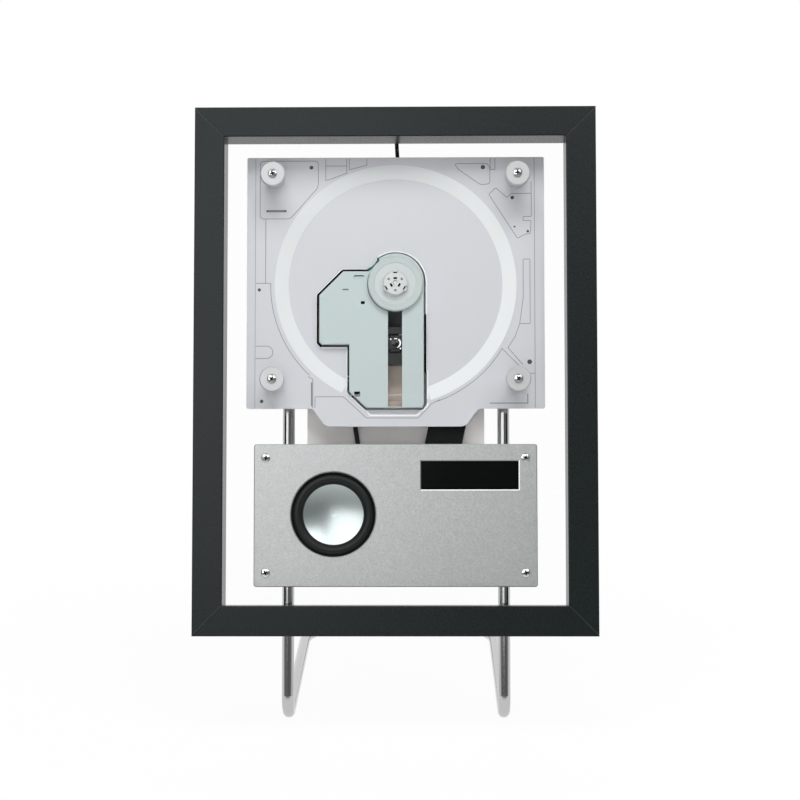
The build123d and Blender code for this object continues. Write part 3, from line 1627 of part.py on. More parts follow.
# ---------------------------------------------------------------------- assembly
def player():
    """Every piece of the player, upright, by name."""
    keys, key_set_screws = corner_keys()
    pieces = dict(frame_rails())
    pieces.update(
        corner_keys=keys,
        clear_sheet=clear_sheet(),
        glazing_gasket=glazing_gasket(),
        disc_plate=disc_plate(),
        standoff_pillars=standoff_pillars(),
        standoff_caps=standoff_caps(),
        front_screws=standoff_screws() + panel_screws(),
        clamp_nuts=clamp_nuts(),
        front_panel=front_panel(),
        display_window=display_window(),
        display_board=display_board(),
        speaker_basket=speaker_basket(),
        speaker_magnet=speaker_magnet(),
        speaker_surround=speaker_surround(),
        speaker_cone=speaker_cone(),
        rear_housing=rear_housing(),
        rear_cover=rear_cover(),
        cover_screws=cover_screws(),
        housing_screws=[countersunk_screw(x, z) for x, z in sheet_posts] + socket_screws(),
        main_board=main_board(),
        small_screws=board_screws() + damper_screws() + key_set_screws,
        battery_pack=battery_pack(),
        audio_jack=audio_jack(),
        usb_inlet=usb_inlet(),
        service_boards=[socket_board(), key_board()],
        mechanism_plate=mechanism_plate(),
        mechanism_base=mechanism_base(),
        rubber_dampers=dampers(),
        motor_board=motor_board(),
        spindle_motor=spindle_motor(),
        spindle_shaft=spindle_shaft(),
        turntable=turntable(),
        turntable_mat=turntable_mat(),
        disc_hub=disc_hub(),
        guide_rods=guide_rods(),
        lead_screw=lead_screw(),
        sled_motor=sled_motor(),
        pickup_sled=pickup_sled(),
        lens_holder=lens_holder(),
        objective_lens=objective_lens(),
        flat_cable=flat_cable(),
        strip_cable=strip_cable(),
        aerial_wire=aerial_wire(),
        wire_clips=wire_clips(),
        wire_grommet=wire_grommet(),
        stand_sockets=stand_sockets(),
        rod_saddles=rod_saddles(),
    )
    for name, angle in zip(("hub_claw_top", "hub_claw_left", "hub_claw_right"), claw_angles):
        pieces[name] = hub_claw(angle)
    for name, z in zip(key_names, key_heights()):
        pieces[name] = key_cap(z)
    return pieces


key_names = ("key_volume_down", "key_volume_up", "key_previous", "key_next", "key_play")


def as_compound(shape):
    """One compound from a solid or a list of solids."""
    shapes = shape if isinstance(shape, list) else [shape]
    solids = [solid for item in shapes for solid in item.solids()]
    return Compound(solids)


def assembly():
    """Every node in its place, with the origin under the middle of the whole."""
    nodes = {name: lean_back(as_compound(shape)) for name, shape in player().items()}
    nodes["stand_rod"] = as_compound(stand_rod())
    whole = Compound(list(nodes.values())).bounding_box()
    middle = Pos(-(whole.min.X + whole.max.X) / 2, -(whole.min.Y + whole.max.Y) / 2, -whole.min.Z)
    return {name: middle * shape for name, shape in nodes.items()}


os.makedirs("parts", exist_ok=True)
for node_name, node_shape in assembly().items():
    export_step(node_shape, f"parts/{node_name}.step")
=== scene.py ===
import json
import math

import bmesh
import bpy
from mathutils import Matrix, Vector


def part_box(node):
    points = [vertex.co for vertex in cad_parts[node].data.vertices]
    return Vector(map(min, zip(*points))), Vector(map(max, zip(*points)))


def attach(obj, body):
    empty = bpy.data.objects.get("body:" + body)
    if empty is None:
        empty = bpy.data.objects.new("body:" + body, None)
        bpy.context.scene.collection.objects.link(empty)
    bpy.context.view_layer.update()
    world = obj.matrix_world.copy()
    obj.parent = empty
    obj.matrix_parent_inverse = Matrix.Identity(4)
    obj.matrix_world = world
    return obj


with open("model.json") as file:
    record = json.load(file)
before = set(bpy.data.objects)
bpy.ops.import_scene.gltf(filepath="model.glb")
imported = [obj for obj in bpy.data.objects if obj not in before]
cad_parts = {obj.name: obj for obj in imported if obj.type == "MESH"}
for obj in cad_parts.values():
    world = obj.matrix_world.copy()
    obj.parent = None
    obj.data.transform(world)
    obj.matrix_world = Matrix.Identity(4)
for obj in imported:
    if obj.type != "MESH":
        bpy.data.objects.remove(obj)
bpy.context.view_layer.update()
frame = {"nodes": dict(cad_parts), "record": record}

# The player is described upright, in millimetres: X right, Z up, Y back from the face of the
# frame, origin at the centre of the frame. It leans back about X and stands on the floor.
LEAN = math.radians(15.0)
HALF_WIDTH, HALF_HEIGHT = 114.0, 150.0  # of the frame
RAIL_WIDTH = 16.6
FOOT_HEIGHT = 59.0  # from the floor to the frame's lower front edge
CENTRE_HEIGHT = FOOT_HEIGHT + HALF_HEIGHT * math.cos(LEAN)
SPINDLE = 50.4  # height of the spindle's axis
MM = 0.001

# Depths of the faces that the small pieces sit on, from the front to the back.
CAP_SCREW = -0.1
HUB = 8.8
CLAW_SLOT = 10.22
TURNTABLE = 11.6
PANEL_SCREW = 13.7
MECHANISM = 14.0
LENS = 15.15
PLATE = 15.8
SLED = 18.68

# The white cone round the disc's recess, the front screws and the speaker.
RING_OUTER, RING_INNER, RING_DEPTH = 69.5, 61.4, 1.2
CAP_X, CAP_HEIGHTS = 69.6, (111.8, -5.4)
PANEL_SCREW_X, PANEL_SCREW_HEIGHTS = 74.0, (-49.4, -114.8)
SPEAKER_X, SPEAKER_HEIGHT = -35.5, -81.6


def depth_shift():
    """How far the record's origin lies behind the frame's centre, from the display's window."""
    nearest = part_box("display_window")[0]
    front, foot = 13.9, -67.4
    return nearest.y / MM - (front * math.cos(LEAN) + foot * math.sin(LEAN))


SHIFT = depth_shift()
TILT = Matrix.Rotation(-LEAN, 4, "X")
CENTRE = Vector((0.0, SHIFT, CENTRE_HEIGHT)) * MM
PLACE = Matrix.Translation(CENTRE) @ TILT @ Matrix.Diagonal((MM, MM, MM, 1.0))


def at(x, y, z):
    """A point of the upright player, in the row frame, in metres."""
    return PLACE @ Vector((x, y, z))


# ------------------------------------------------------------------------ shader helpers
def new_material(name):
    """A new material, with its nodes, its links and its Principled shader."""
    material = bpy.data.materials.new(name)
    material.use_nodes = True
    nodes = material.node_tree.nodes
    return material, nodes, material.node_tree.links, nodes["Principled BSDF"]


def object_coordinates(nodes):
    """The object's own coordinates, so that a pattern stays on it when it moves."""
    return nodes.new("ShaderNodeTexCoord").outputs["Object"]


def noise(nodes, links, vector, scale, detail, roughness=0.55):
    """Fractal noise with `scale` features to the metre."""
    texture = nodes.new("ShaderNodeTexNoise")
    texture.inputs["Scale"].default_value = scale
    texture.inputs["Detail"].default_value = detail
    texture.inputs["Roughness"].default_value = roughness
    links.new(vector, texture.inputs["Vector"])
    return texture.outputs["Fac"]


def ramp(nodes, links, fac, stops):
    """A colour that runs through stops, each a place and its colour."""
    node = nodes.new("ShaderNodeValToRGB")
    elements = node.color_ramp.elements
    while len(elements) < len(stops):
        elements.new(0.5)
    for element, (place, color) in zip(elements, stops):
        element.position = place
        element.color = (*color, 1.0)
    links.new(fac, node.inputs["Fac"])
    return node.outputs["Color"]


def scaled(color, factor):
    """A colour made lighter or darker."""
    return tuple(min(1.0, c * factor) for c in color)


def map_range(nodes, links, value, source, target):
    """A value moved from one span to another."""
    node = nodes.new("ShaderNodeMapRange")
    node.inputs["From Min"].default_value, node.inputs["From Max"].default_value = source
    node.inputs["To Min"].default_value, node.inputs["To Max"].default_value = target
    links.new(value, node.inputs["Value"])
    return node.outputs["Result"]


def ranged(nodes, links, fac, low, high):
    """A noise, which keeps near its middle, spread over a span."""
    return map_range(nodes, links, fac, (0.3, 0.7), (low, high))


def larger(nodes, links, first, second):
    """The larger of two values."""
    node = nodes.new("ShaderNodeMath")
    node.operation = "MAXIMUM"
    links.new(first, node.inputs[0])
    links.new(second, node.inputs[1])
    return node.outputs[0]


def mixed(nodes, links, fac, first, second):
    """The first shader where `fac` is 0 and the second where it is 1."""
    node = nodes.new("ShaderNodeMixShader")
    links.new(fac, node.inputs["Fac"])
    links.new(first, node.inputs[1])
    links.new(second, node.inputs[2])
    return node.outputs[0]


def add_bump(nodes, links, shader, fac, strength, distance):
    """Bumps `distance` metres high on a shader."""
    node = nodes.new("ShaderNodeBump")
    node.inputs["Strength"].default_value = strength
    node.inputs["Distance"].default_value = distance
    links.new(fac, node.inputs["Height"])
    links.new(node.outputs["Normal"], shader.inputs["Normal"])


# ------------------------------------------------------------------------ kinds of finish
def finish_material(
    name,
    color,
    roughness,
    metallic=0.0,
    grain=900.0,
    tone=0.05,
    rough_spread=0.06,
    bump=0.15,
    bump_depth=0.00004,
    specular=0.5,
    coat=0.0,
):
    """A finish with a fine grain in its bump and roughness and a slow drift in its colour."""
    material, nodes, links, shader = new_material(name)
    vector = object_coordinates(nodes)
    fine = noise(nodes, links, vector, scale=grain, detail=4.0)
    slow = noise(nodes, links, vector, scale=14.0, detail=2.0)
    shade = ramp(nodes, links, slow, [(0.3, scaled(color, 1.0 - tone)), (0.7, scaled(color, 1.0 + tone))])
    links.new(shade, shader.inputs["Base Color"])
    rough = ranged(nodes, links, fine, roughness - rough_spread, roughness + rough_spread)
    links.new(rough, shader.inputs["Roughness"])
    shader.inputs["Metallic"].default_value = metallic
    shader.inputs["Specular IOR Level"].default_value = specular
    shader.inputs["Coat Weight"].default_value = coat
    shader.inputs["Coat Roughness"].default_value = 0.12
    add_bump(nodes, links, shader, fine, bump, bump_depth)
    return material


def turned_finish(name, color, roughness, centre, pitch, tone=0.03, spread=0.04, metallic=1.0):
    """A surface turned on a lathe: fine rings about a point of the player."""
    material, nodes, links, shader = new_material(name)
    mapping = nodes.new("ShaderNodeMapping")
    mapping.vector_type = "TEXTURE"
    mapping.inputs["Location"].default_value = tuple(at(*centre))
    mapping.inputs["Rotation"].default_value = (math.pi / 2 - LEAN, 0.0, 0.0)
    links.new(object_coordinates(nodes), mapping.inputs["Vector"])
    rings = nodes.new("ShaderNodeTexWave")
    rings.wave_type = "RINGS"
    rings.rings_direction = "Z"
    rings.inputs["Scale"].default_value = pitch
    rings.inputs["Distortion"].default_value = 0.6
    rings.inputs["Detail"].default_value = 2.0
    links.new(mapping.outputs["Vector"], rings.inputs["Vector"])
    fac = rings.outputs["Fac"]
    shade = ramp(nodes, links, fac, [(0.0, scaled(color, 1.0 - tone)), (1.0, scaled(color, 1.0 + tone))])
    links.new(shade, shader.inputs["Base Color"])
    rough = ranged(nodes, links, fac, roughness - spread, roughness + spread)
    links.new(rough, shader.inputs["Roughness"])
    shader.inputs["Metallic"].default_value = metallic
    add_bump(nodes, links, shader, fac, strength=0.08, distance=0.00002)
    return material


def see_through(name, tint, roughness, spread=0.02):
    """Clear plastic: nearly all straight through, with a faint gloss."""
    material, nodes, links, shader = new_material(name)
    slow = noise(nodes, links, object_coordinates(nodes), scale=9.0, detail=2.0)
    shade = ramp(nodes, links, slow, [(0.3, scaled(tint, 0.99)), (0.7, tint)])
    links.new(shade, shader.inputs["Base Color"])
    rough = ranged(nodes, links, slow, roughness, roughness + spread)
    links.new(rough, shader.inputs["Roughness"])
    shader.inputs["Alpha"].default_value = 0.01
    shader.inputs["Specular IOR Level"].default_value = 0.2
    return material


def blasted_metal(name, color, roughness, metallic, tone=0.13, spread=0.07):
    """Bead-blasted and anodised metal: a coarse and a fine speckle over a slow drift."""
    material, nodes, links, shader = new_material(name)
    vector = object_coordinates(nodes)
    speckle = noise(nodes, links, vector, scale=950.0, detail=6.0, roughness=0.75)
    patch = noise(nodes, links, vector, scale=210.0, detail=4.0, roughness=0.6)
    dark, light = scaled(color, 1.0 - tone), scaled(color, 1.0 + tone)
    spots = ramp(nodes, links, speckle, [(0.36, dark), (0.64, light)])
    dull, clean = (0.95, 0.95, 0.95), (1.0, 1.0, 1.0)
    mottle = ramp(nodes, links, patch, [(0.3, dull), (0.7, clean)])
    blend = nodes.new("ShaderNodeMix")
    blend.data_type = "RGBA"
    blend.blend_type = "MULTIPLY"
    blend.inputs[0].default_value = 1.0
    links.new(spots, blend.inputs[6])
    links.new(mottle, blend.inputs[7])
    links.new(blend.outputs[2], shader.inputs["Base Color"])
    rough = ranged(nodes, links, speckle, roughness - spread, roughness + spread)
    links.new(rough, shader.inputs["Roughness"])
    shader.inputs["Metallic"].default_value = metallic
    add_bump(nodes, links, shader, speckle, strength=0.3, distance=0.00006)
    return material


# ------------------------------------------------------------------------ finishes by part
def frame_finishes():
    """The frame, its hardware, the clear sheet and the rubber."""
    powder = dict(grain=2200.0, tone=0.08, bump=0.25, bump_depth=0.00006, specular=0.3)
    zinc = dict(metallic=1.0, grain=1200.0, tone=0.06, bump=0.12)
    galvanised = finish_material("zinc", (0.55, 0.55, 0.54), 0.35, **zinc)
    rubber = dict(grain=1400.0, tone=0.1, bump=0.3, specular=0.35)
    return {
        "black_frame": finish_material("powder_black", (0.0088, 0.013, 0.013), 0.28, **powder),
        "mitre_dark": finish_material("mitre_dark", (0.002, 0.002, 0.002), 0.6, tone=0.1, specular=0.1),
        # Painted highlight: a lighter grey for the strips beside the frame's joints.
        "mitre_painted_highlight": finish_material("mitre_painted_highlight", (0.045, 0.055, 0.055), 0.4, tone=0.1),
        "galvanised": galvanised,
        "inlet_steel": galvanised,
        "clear": see_through("clear_acrylic", (0.3, 0.32, 0.32), 0.03),
        "black_rubber": finish_material("rubber_black", (0.007, 0.008, 0.008), 0.4, **rubber),
    }


def plate_finishes():
    """The disc plate, its caps and screws, and the other bright metal."""
    pearl = dict(grain=1500.0, tone=0.012, bump=0.06, coat=0.25)
    ring = dict(grain=1500.0, tone=0.012, bump=0.05, coat=0.3)
    turned = dict(metallic=0.25, grain=1500.0, tone=0.02, rough_spread=0.02, bump=0.015, specular=0.4)
    bright = dict(metallic=1.0, grain=1500.0, rough_spread=0.03, bump=0.03)
    return {
        "printed_plate": finish_material("plate_pearl", (0.63, 0.645, 0.675), 0.38, **pearl),
        "ring_white": finish_material("ring_white", (0.78, 0.81, 0.82), 0.32, **ring),
        "engraved": finish_material("engraved_line", (0.2, 0.21, 0.23), 0.5, tone=0.08),
        # Painted shade: a dark colour for the plate's small holes and the hub's dimples.
        "hole_painted_shade": finish_material("hole_painted_shade", (0.05, 0.055, 0.065), 0.5, tone=0.08),
        # Painted highlight: a near-white for the window's chamfer and the sled's tab, where they catch the
        # light.
        "painted_highlight_white": finish_material("painted_highlight_white", (0.9, 0.91, 0.92), 0.35, grain=1500.0, tone=0.02, bump=0.04),
        "cap_white": finish_material("cap_turned", (0.575, 0.595, 0.595), 0.32, **turned),
        "screw_chrome": finish_material("screw_bright", (0.86, 0.86, 0.86), 0.1, tone=0.03, **bright),
        "polished_edge": finish_material("polished_edge", (0.86, 0.87, 0.87), 0.2, tone=0.02, **bright),
        "stand_chrome": finish_material("chrome_rod", (0.52, 0.52, 0.525), 0.12, tone=0.02, **bright),
    }


def panel_finishes():
    """The lower panel, the display and the speaker."""
    glass = dict(grain=400.0, tone=0.2, rough_spread=0.03, bump=0.02, specular=0.15)
    magnet = dict(grain=1000.0, tone=0.12, bump=0.3)
    cone = (SPEAKER_X, 18.0, SPEAKER_HEIGHT)
    return {
        "panel_silver": blasted_metal("panel_silver", (0.6, 0.62, 0.615), 0.38, 0.75),
        "display_black": finish_material("display_dark", (0.003, 0.0035, 0.0035), 0.12, **glass),
        "basket_black": finish_material("basket_black", (0.02, 0.02, 0.02), 0.4, grain=1300.0, tone=0.1),
        "magnet_grey": finish_material("magnet_grey", (0.08, 0.08, 0.085), 0.5, **magnet),
        "cone_silver": turned_finish("cone_spun", (0.68, 0.76, 0.75), 0.3, cone, 900.0),
    }


def housing_finishes():
    """The housing, what it holds, and the cables."""
    shell = dict(grain=1600.0, tone=0.03, bump=0.3, bump_depth=0.00006)
    moulded = dict(grain=1500.0, tone=0.08, bump=0.25)
    board = dict(grain=700.0, tone=0.15, bump=0.2, coat=0.3)
    bare_board = dict(grain=700.0, tone=0.3, bump=0.2)
    key = dict(metallic=0.5, grain=1500.0, tone=0.03)
    cable = dict(grain=1300.0, tone=0.12, bump=0.1, specular=0.12)
    return {
        "housing_white": finish_material("housing_light", (0.9, 0.87, 0.855), 0.55, **shell),
        "battery_blue": finish_material("battery_sleeve", (0.03, 0.06, 0.2), 0.35, grain=600.0, tone=0.1),
        "black_plastic": finish_material("moulded_black", (0.02, 0.021, 0.022), 0.48, **moulded),
        "board_green": finish_material("board_green", (0.02, 0.16, 0.07), 0.4, **board),
        "board_teal": finish_material("board_teal", (0.006, 0.09, 0.07), 0.4, **bare_board),
        "key_silver": finish_material("key_silver", (0.56, 0.58, 0.58), 0.3, **key),
        "cable_black": finish_material("cable_black", (0.005, 0.006, 0.006), 0.45, **cable),
    }


def mechanism_finishes():
    """The disc mechanism, from its plate to the lens."""
    pressed = dict(metallic=0.1, grain=1800.0, tone=0.015, bump=0.08, coat=0.15)
    steel = dict(metallic=1.0, tone=0.04)
    glass = dict(grain=300.0, tone=0.2, rough_spread=0.02, bump=0.0, coat=0.4)
    sled, sled_parts = dict(grain=700.0, tone=0.3, bump=0.3), dict(grain=800.0, tone=0.25, bump=0.2)
    table = dict(centre=(0.0, 10.0, SPINDLE), pitch=1100.0, metallic=0.25)
    hub = dict(centre=(0.0, 8.0, SPINDLE), pitch=900.0, metallic=0.25)
    return {
        "mechanism_silver": finish_material("mechanism_silver", (0.52, 0.605, 0.6), 0.36, **pressed),
        # Painted shadow: a grey for the turntable's shadow on the mechanism's plate.
        "painted_shadow_grey": finish_material("painted_shadow_grey", (0.16, 0.19, 0.185), 0.5, tone=0.1, specular=0.2),
        "base_grey": finish_material("base_grey", (0.016, 0.018, 0.018), 0.5, tone=0.12, bump=0.35),
        # Painted shade: a near-black for gaps, holes and recess floors, standing in for their shadow.
        "shadow_black": finish_material("shadow_black", (0.003, 0.003, 0.003), 0.7, tone=0.2, specular=0.1),
        # Painted shade: a dark grey for the slot's shaded upper end.
        "slot_painted_shade_grey": finish_material("slot_painted_shade_grey", (0.13, 0.145, 0.14), 0.6, tone=0.15, specular=0.2),
        # Painted shade: browns for the shaded housing seen through the slot.
        "painted_shade_brown": finish_material("painted_shade_brown", (0.95, 0.8, 0.69), 0.5, grain=700.0, bump=0.1),
        "painted_shade_foot": finish_material("painted_shade_foot", (0.54, 0.43, 0.37), 0.5, grain=700.0, bump=0.1),
        "motor_steel": finish_material("motor_can", (0.5, 0.5, 0.5), 0.3, metallic=1.0, grain=1100.0),
        "ground_steel": finish_material("ground_steel", (0.62, 0.62, 0.62), 0.16, grain=1300.0, **steel),
        "turntable_white": turned_finish("turntable_moulded", (0.59, 0.64, 0.635), 0.3, **table),
        "hub_white": turned_finish("hub_moulded", (0.63, 0.66, 0.65), 0.3, **hub),
        "mat_grey": finish_material("mat_grey", (0.53, 0.6, 0.59), 0.6, grain=1600.0, tone=0.03, bump=0.25),
        "claw_white": finish_material("claw_acetal", (0.6, 0.64, 0.63), 0.35, tone=0.03),
        "sled_dark": finish_material("sled_dark", (0.012, 0.013, 0.013), 0.36, **sled),
        "sled_grey": finish_material("sled_grey", (0.15, 0.165, 0.165), 0.4, **sled_parts),
        "lens_blue": finish_material("lens_coated", (0.006, 0.008, 0.01), 0.05, **glass),
    }


MATERIALS = {
    **frame_finishes(),
    **plate_finishes(),
    **panel_finishes(),
    **housing_finishes(),
    **mechanism_finishes(),
}
NODE_FINISH = {"disc_hub": "hub_white"}  # where a node's finish isn't its slot's


def dress_nodes():
    """Gives every CAD node the finish of its slot."""
    for part in frame["record"]["subparts"]:
        node = frame["nodes"][part["node"]]
        node.data.materials.clear()
        finish = NODE_FINISH.get(part["node"], part["material_slot"])
        node.data.materials.append(MATERIALS[finish])


dress_nodes()


# ------------------------------------------------------------------------ mesh helpers
def piece(name, mesh_builder, material, body, smooth=False):
    """A new piece from a function that fills a bmesh in upright millimetres."""
    shape = bmesh.new()
    mesh_builder(shape)
    bmesh.ops.recalc_face_normals(shape, faces=shape.faces)
    mesh = bpy.data.meshes.new(name)
    shape.to_mesh(mesh)
    shape.free()
    mesh.transform(PLACE)
    for polygon in mesh.polygons:
        polygon.use_smooth = smooth
    thing = bpy.data.objects.new(name, mesh)
    bpy.context.scene.collection.objects.link(thing)
    mesh.materials.append(MATERIALS[material])
    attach(thing, body)


def bridge(shape, rows, closed=True):
    """Faces between neighbouring rows of vertices."""
    for first, second in zip(rows, rows[1:]):
        for index in range(len(first) if closed else len(first) - 1):
            following = (index + 1) % len(first)
            shape.faces.new((first[index], first[following], second[following], second[index]))


def offset_points(points, distance):
    """Points moved sideways from a polyline, mitred at its corners."""
    moved = []
    count = len(points)
    for index, (x, z) in enumerate(points):
        before = points[index - 1] if index else None
        after = points[index + 1] if index < count - 1 else None
        normals = []
        for start, end in ((before, (x, z)), ((x, z), after)):
            if start and end:
                dx, dz = end[0] - start[0], end[1] - start[1]
                length = math.hypot(dx, dz) or 1.0
                normals.append((-dz / length, dx / length))
        nx = sum(n[0] for n in normals) / len(normals)
        nz = sum(n[1] for n in normals) / len(normals)
        size = max(0.4, nx * nx + nz * nz)
        moved.append((x + nx * distance / size, z + nz * distance / size))
    return moved


def add_line(shape, points, width, front, thickness=0.04):
    """A raised strip along a polyline, on a plane at depth `front`."""
    rows = []
    for (lx, lz), (rx, rz) in zip(offset_points(points, width / 2), offset_points(points, -width / 2)):
        top = front - thickness
        corners = ((lx, top, lz), (rx, top, rz), (rx, front, rz), (lx, front, lz))
        rows.append([shape.verts.new(corner) for corner in corners])
    bridge(shape, rows)
    shape.faces.new(rows[0])
    shape.faces.new(list(reversed(rows[-1])))


def add_plate(shape, outline, front, back):
    """A flat plate of any outline between two depths."""
    rows = [[shape.verts.new((x, y, z)) for x, z in outline] for y in (front, back)]
    shape.faces.new(rows[0])
    shape.faces.new(list(reversed(rows[1])))
    bridge(shape, rows)


def add_disc(shape, x, z, radius, front, thickness=0.04, sides=24):
    """A small round spot on a plane."""
    angles = [2 * math.pi * index / sides for index in range(sides)]
    outline = [(x + radius * math.cos(a), z + radius * math.sin(a)) for a in angles]
    add_plate(shape, outline, front - thickness, front)


def add_block(shape, x, y, z):
    """A block that spans the given ranges."""
    outline = [(x[0], z[0]), (x[1], z[0]), (x[1], z[1]), (x[0], z[1])]
    add_plate(shape, outline, front=y[0], back=y[1])


def arc(x, z, radius, start, end, steps=24):
    """Points along an arc, angles in degrees."""
    angles = [math.radians(start + (end - start) * index / steps) for index in range(steps + 1)]
    return [(x + radius * math.cos(a), z + radius * math.sin(a)) for a in angles]


def rounded(points, radius, closed=True, steps=5):
    """A polyline with its corners rounded."""
    out = []
    count = len(points)
    for index, (x, z) in enumerate(points):
        if not closed and index in (0, count - 1):
            out.append((x, z))
            continue
        ax, az = points[index - 1]
        bx, bz = points[(index + 1) % count]
        la, lb = math.hypot(ax - x, az - z), math.hypot(bx - x, bz - z)
        reach = min(radius, la * 0.45, lb * 0.45)
        start = (x + (ax - x) / la * reach, z + (az - z) / la * reach)
        end = (x + (bx - x) / lb * reach, z + (bz - z) / lb * reach)
        for step in range(steps + 1):
            t = step / steps
            near, middle, far = (1 - t) ** 2, 2 * (1 - t) * t, t * t
            out.append(tuple(near * s + middle * m + far * e for s, m, e in zip(start, (x, z), end)))
    if closed:
        out.append(out[0])
    return out


def divided(points, step):
    """A polyline with its long runs divided."""
    out = []
    for (ax, az), (bx, bz) in zip(points, points[1:]):
        count = max(1, int(math.hypot(bx - ax, bz - az) / step))
        out += [(ax + (bx - ax) * i / count, az + (bz - az) * i / count) for i in range(count)]
    return out + [points[-1]]


# ------------------------------------------------------------------------ the disc plate
def plate_lines(shape):
    """The line work engraved on the disc plate."""
    fine, medium, bold, bar = 0.34, 0.5, 0.7, 1.3
    left_border, right_border = 0.24, 0.3
    corner_field = [(-78.0, 122.3), (-44.5, 122.3), (-44.5, 107.0), (-60.6, 88.7), (-78.0, 88.7)]
    top_field = [(34.0, 120.6), (52.8, 120.6), (54.4, 118.4), (54.4, 108.8), (49.0, 108.2), (36.2, 117.2)]
    right_field = [
        (57.7, 106.5),
        (53.7, 102.6),
        (70.2, 77.0),
        (74.5, 79.4),
        (77.6, 79.8),
        (78.0, 87.3),
        (73.4, 87.3),
        (73.4, 89.7),
        (78.1, 89.7),
        (78.2, 103.1),
        (66.4, 103.1),
        (64.3, 100.6),
    ]
    side_field = [(73.3, 65.0), (77.2, 65.0), (77.2, 27.7), (71.2, 27.7), (73.3, 43.0)]
    foot_run = [(-46.1, -20.6), (-46.1, -14.2), (-29.8, -14.2), (-16.7, -26.4), (13.0, -26.5), (20.7, -18.2)]
    lines = [
        (rounded(corner_field, 2.2), fine),
        ([(-74.7, 88.5), (-74.7, 51.4)], fine),
        ([(-80.3, 51.3), (-71.7, 51.3), (-71.7, 47.4)] + arc(0.0, SPINDLE, 71.8, 182.4, 226.6, 30)[1:], fine),
        ([(-40.2, 123.6), (-40.2, 110.9), (-36.0, 112.2), (-28.1, 115.2), (-28.1, 123.6)], fine),
        ([(-40.2, 119.4), (-28.1, 119.4)], fine),
        ([(-26.6, 123.6), (-26.6, 117.2), (-16.5, 119.8), (-16.5, 123.6)], fine),
        (rounded(top_field, 1.6), fine),
        ([(54.6, 123.6), (54.6, 117.0), (57.3, 117.0), (57.3, 123.6)], fine),
        (rounded(right_field, 0.8), fine),
        ([(78.1, 103.2), (78.1, 110.0)], fine),
        (rounded(side_field, 0.6), fine),
        ([(71.2, 27.7), (68.6, 20.4), (64.4, 13.9), (73.0, 4.0)], fine),
        (arc(0.0, SPINDLE, 71.4, 289.5, 328.8, 30) + [(70.6, 3.6)], fine),
        ([(53.9, -18.0), (75.6, -18.0), (75.6, -12.6)], medium),
        ([(77.4, -0.9), (79.8, -0.9)], fine),
        ([(-80.3, 15.0), (-74.0, 15.0)] + arc(-74.0, 11.4, 3.6, 90, -90, 12)[1:] + [(-80.3, 7.8)], fine),
        ([(-48.1, -5.9), (-48.0, -19.6)], bold),
        ([(-50.0, -2.6), (-47.4, -4.2), (-47.4, -20.6)], fine),
        (rounded(foot_run, 1.0, closed=False) + [(25.5, -15.9)], fine),
        ([(-80.6, 123.8), (-80.6, -20.6)], left_border),
        ([(79.9, 123.8), (79.9, -20.6)], right_border),
        ([(-73.8, 93.2), (-63.4, 93.2)], bar),
    ]
    for points, width in lines:
        add_line(shape, points, width, PLATE)


def plate_painted_hole_shades(shape):
    """Painted shade: dark discs where the disc plate has small holes, by place and radius."""
    for x, z, radius in (
        (-48.5, 118.5, 1.1),
        (50.4, 118.5, 1.25),
        (67.2, 100.7, 1.05),
        (68.5, 83.8, 0.55),
        (76.1, 81.1, 0.75),
        (-78.3, 47.5, 0.95),
        (76.8, 5.7, 1.35),
        (-76.7, -16.8, 1.0),
        (-73.8, 93.2, 0.65),
        (-63.4, 93.2, 0.65),
    ):
        add_disc(shape, x, z, radius, PLATE)


def ring_band(shape):
    """The white band on the conical rim of the disc recess, open where the window cuts it."""
    steps, lift, middle = 192, 0.05, 65.0
    window_left, window_right = -28.4, 18.6
    rows = []
    for index in range(steps):
        angle = 2 * math.pi * index / steps
        edges = ((RING_OUTER, PLATE), (RING_INNER, PLATE + RING_DEPTH))
        corners = [(r * math.cos(angle), y - lift, SPINDLE + r * math.sin(angle)) for r, y in edges]
        rows.append([shape.verts.new(corner) for corner in corners])
    for index in range(steps):
        following = (index + 1) % steps
        angle = 2 * math.pi * (index + 0.5) / steps
        x, z = middle * math.cos(angle), SPINDLE + middle * math.sin(angle)
        if z >= 0 or not window_left < x < window_right:
            shape.faces.new((rows[index][0], rows[following][0], rows[following][1], rows[index][1]))


def plate_depth(x, z):
    """Depth of the disc plate's face: flat, then sloping, then the recess."""
    inwards = (RING_OUTER - math.hypot(x, z - SPINDLE)) / (RING_OUTER - RING_INNER)
    return PLATE + RING_DEPTH * min(1.0, max(0.0, inwards))


def window_outline():
    """The edge of the plate's window round the mechanism."""
    right_side = [(17.9, -19.2), (17.9, 0.4), (17.3, 0.4), (17.3, 52.0)]
    head = arc(0.0, 52.0, 17.3, 3.0, 122.0, 36)
    notch = [(-10.3, 65.5), (-10.55, 62.74), (-15.73, 58.9)]
    left_side = [(-30.4, 58.9), (-44.8, 44.5), (-44.8, 16.8), (-42.6, 14.6), (-27.6, 14.6), (-27.6, -11.9)]
    foot = [(-17.2, -21.8), (-16.2, -21.8), (-14.58, -24.5), (12.24, -24.5), (14.4, -21.8), (15.6, -21.8)]
    return rounded(right_side + head + notch + left_side + foot, 0.8, steps=3)


def window_lip_painted_shade(shape):
    """Painted shade along the inner lip of the plate's window on its left side."""
    lip = [(-15.9, 59.0), (-30.46, 59.0), (-44.9, 44.55), (-44.9, 16.75), (-42.65, 14.5)]
    width, raised, thickness = 0.75, 0.12, 0.06
    points = divided(lip, 2.0)
    for start, end in zip(points, points[1:]):
        depth = max(plate_depth(*start), plate_depth(*end)) - raised
        add_line(shape, [start, end], width, depth, thickness)


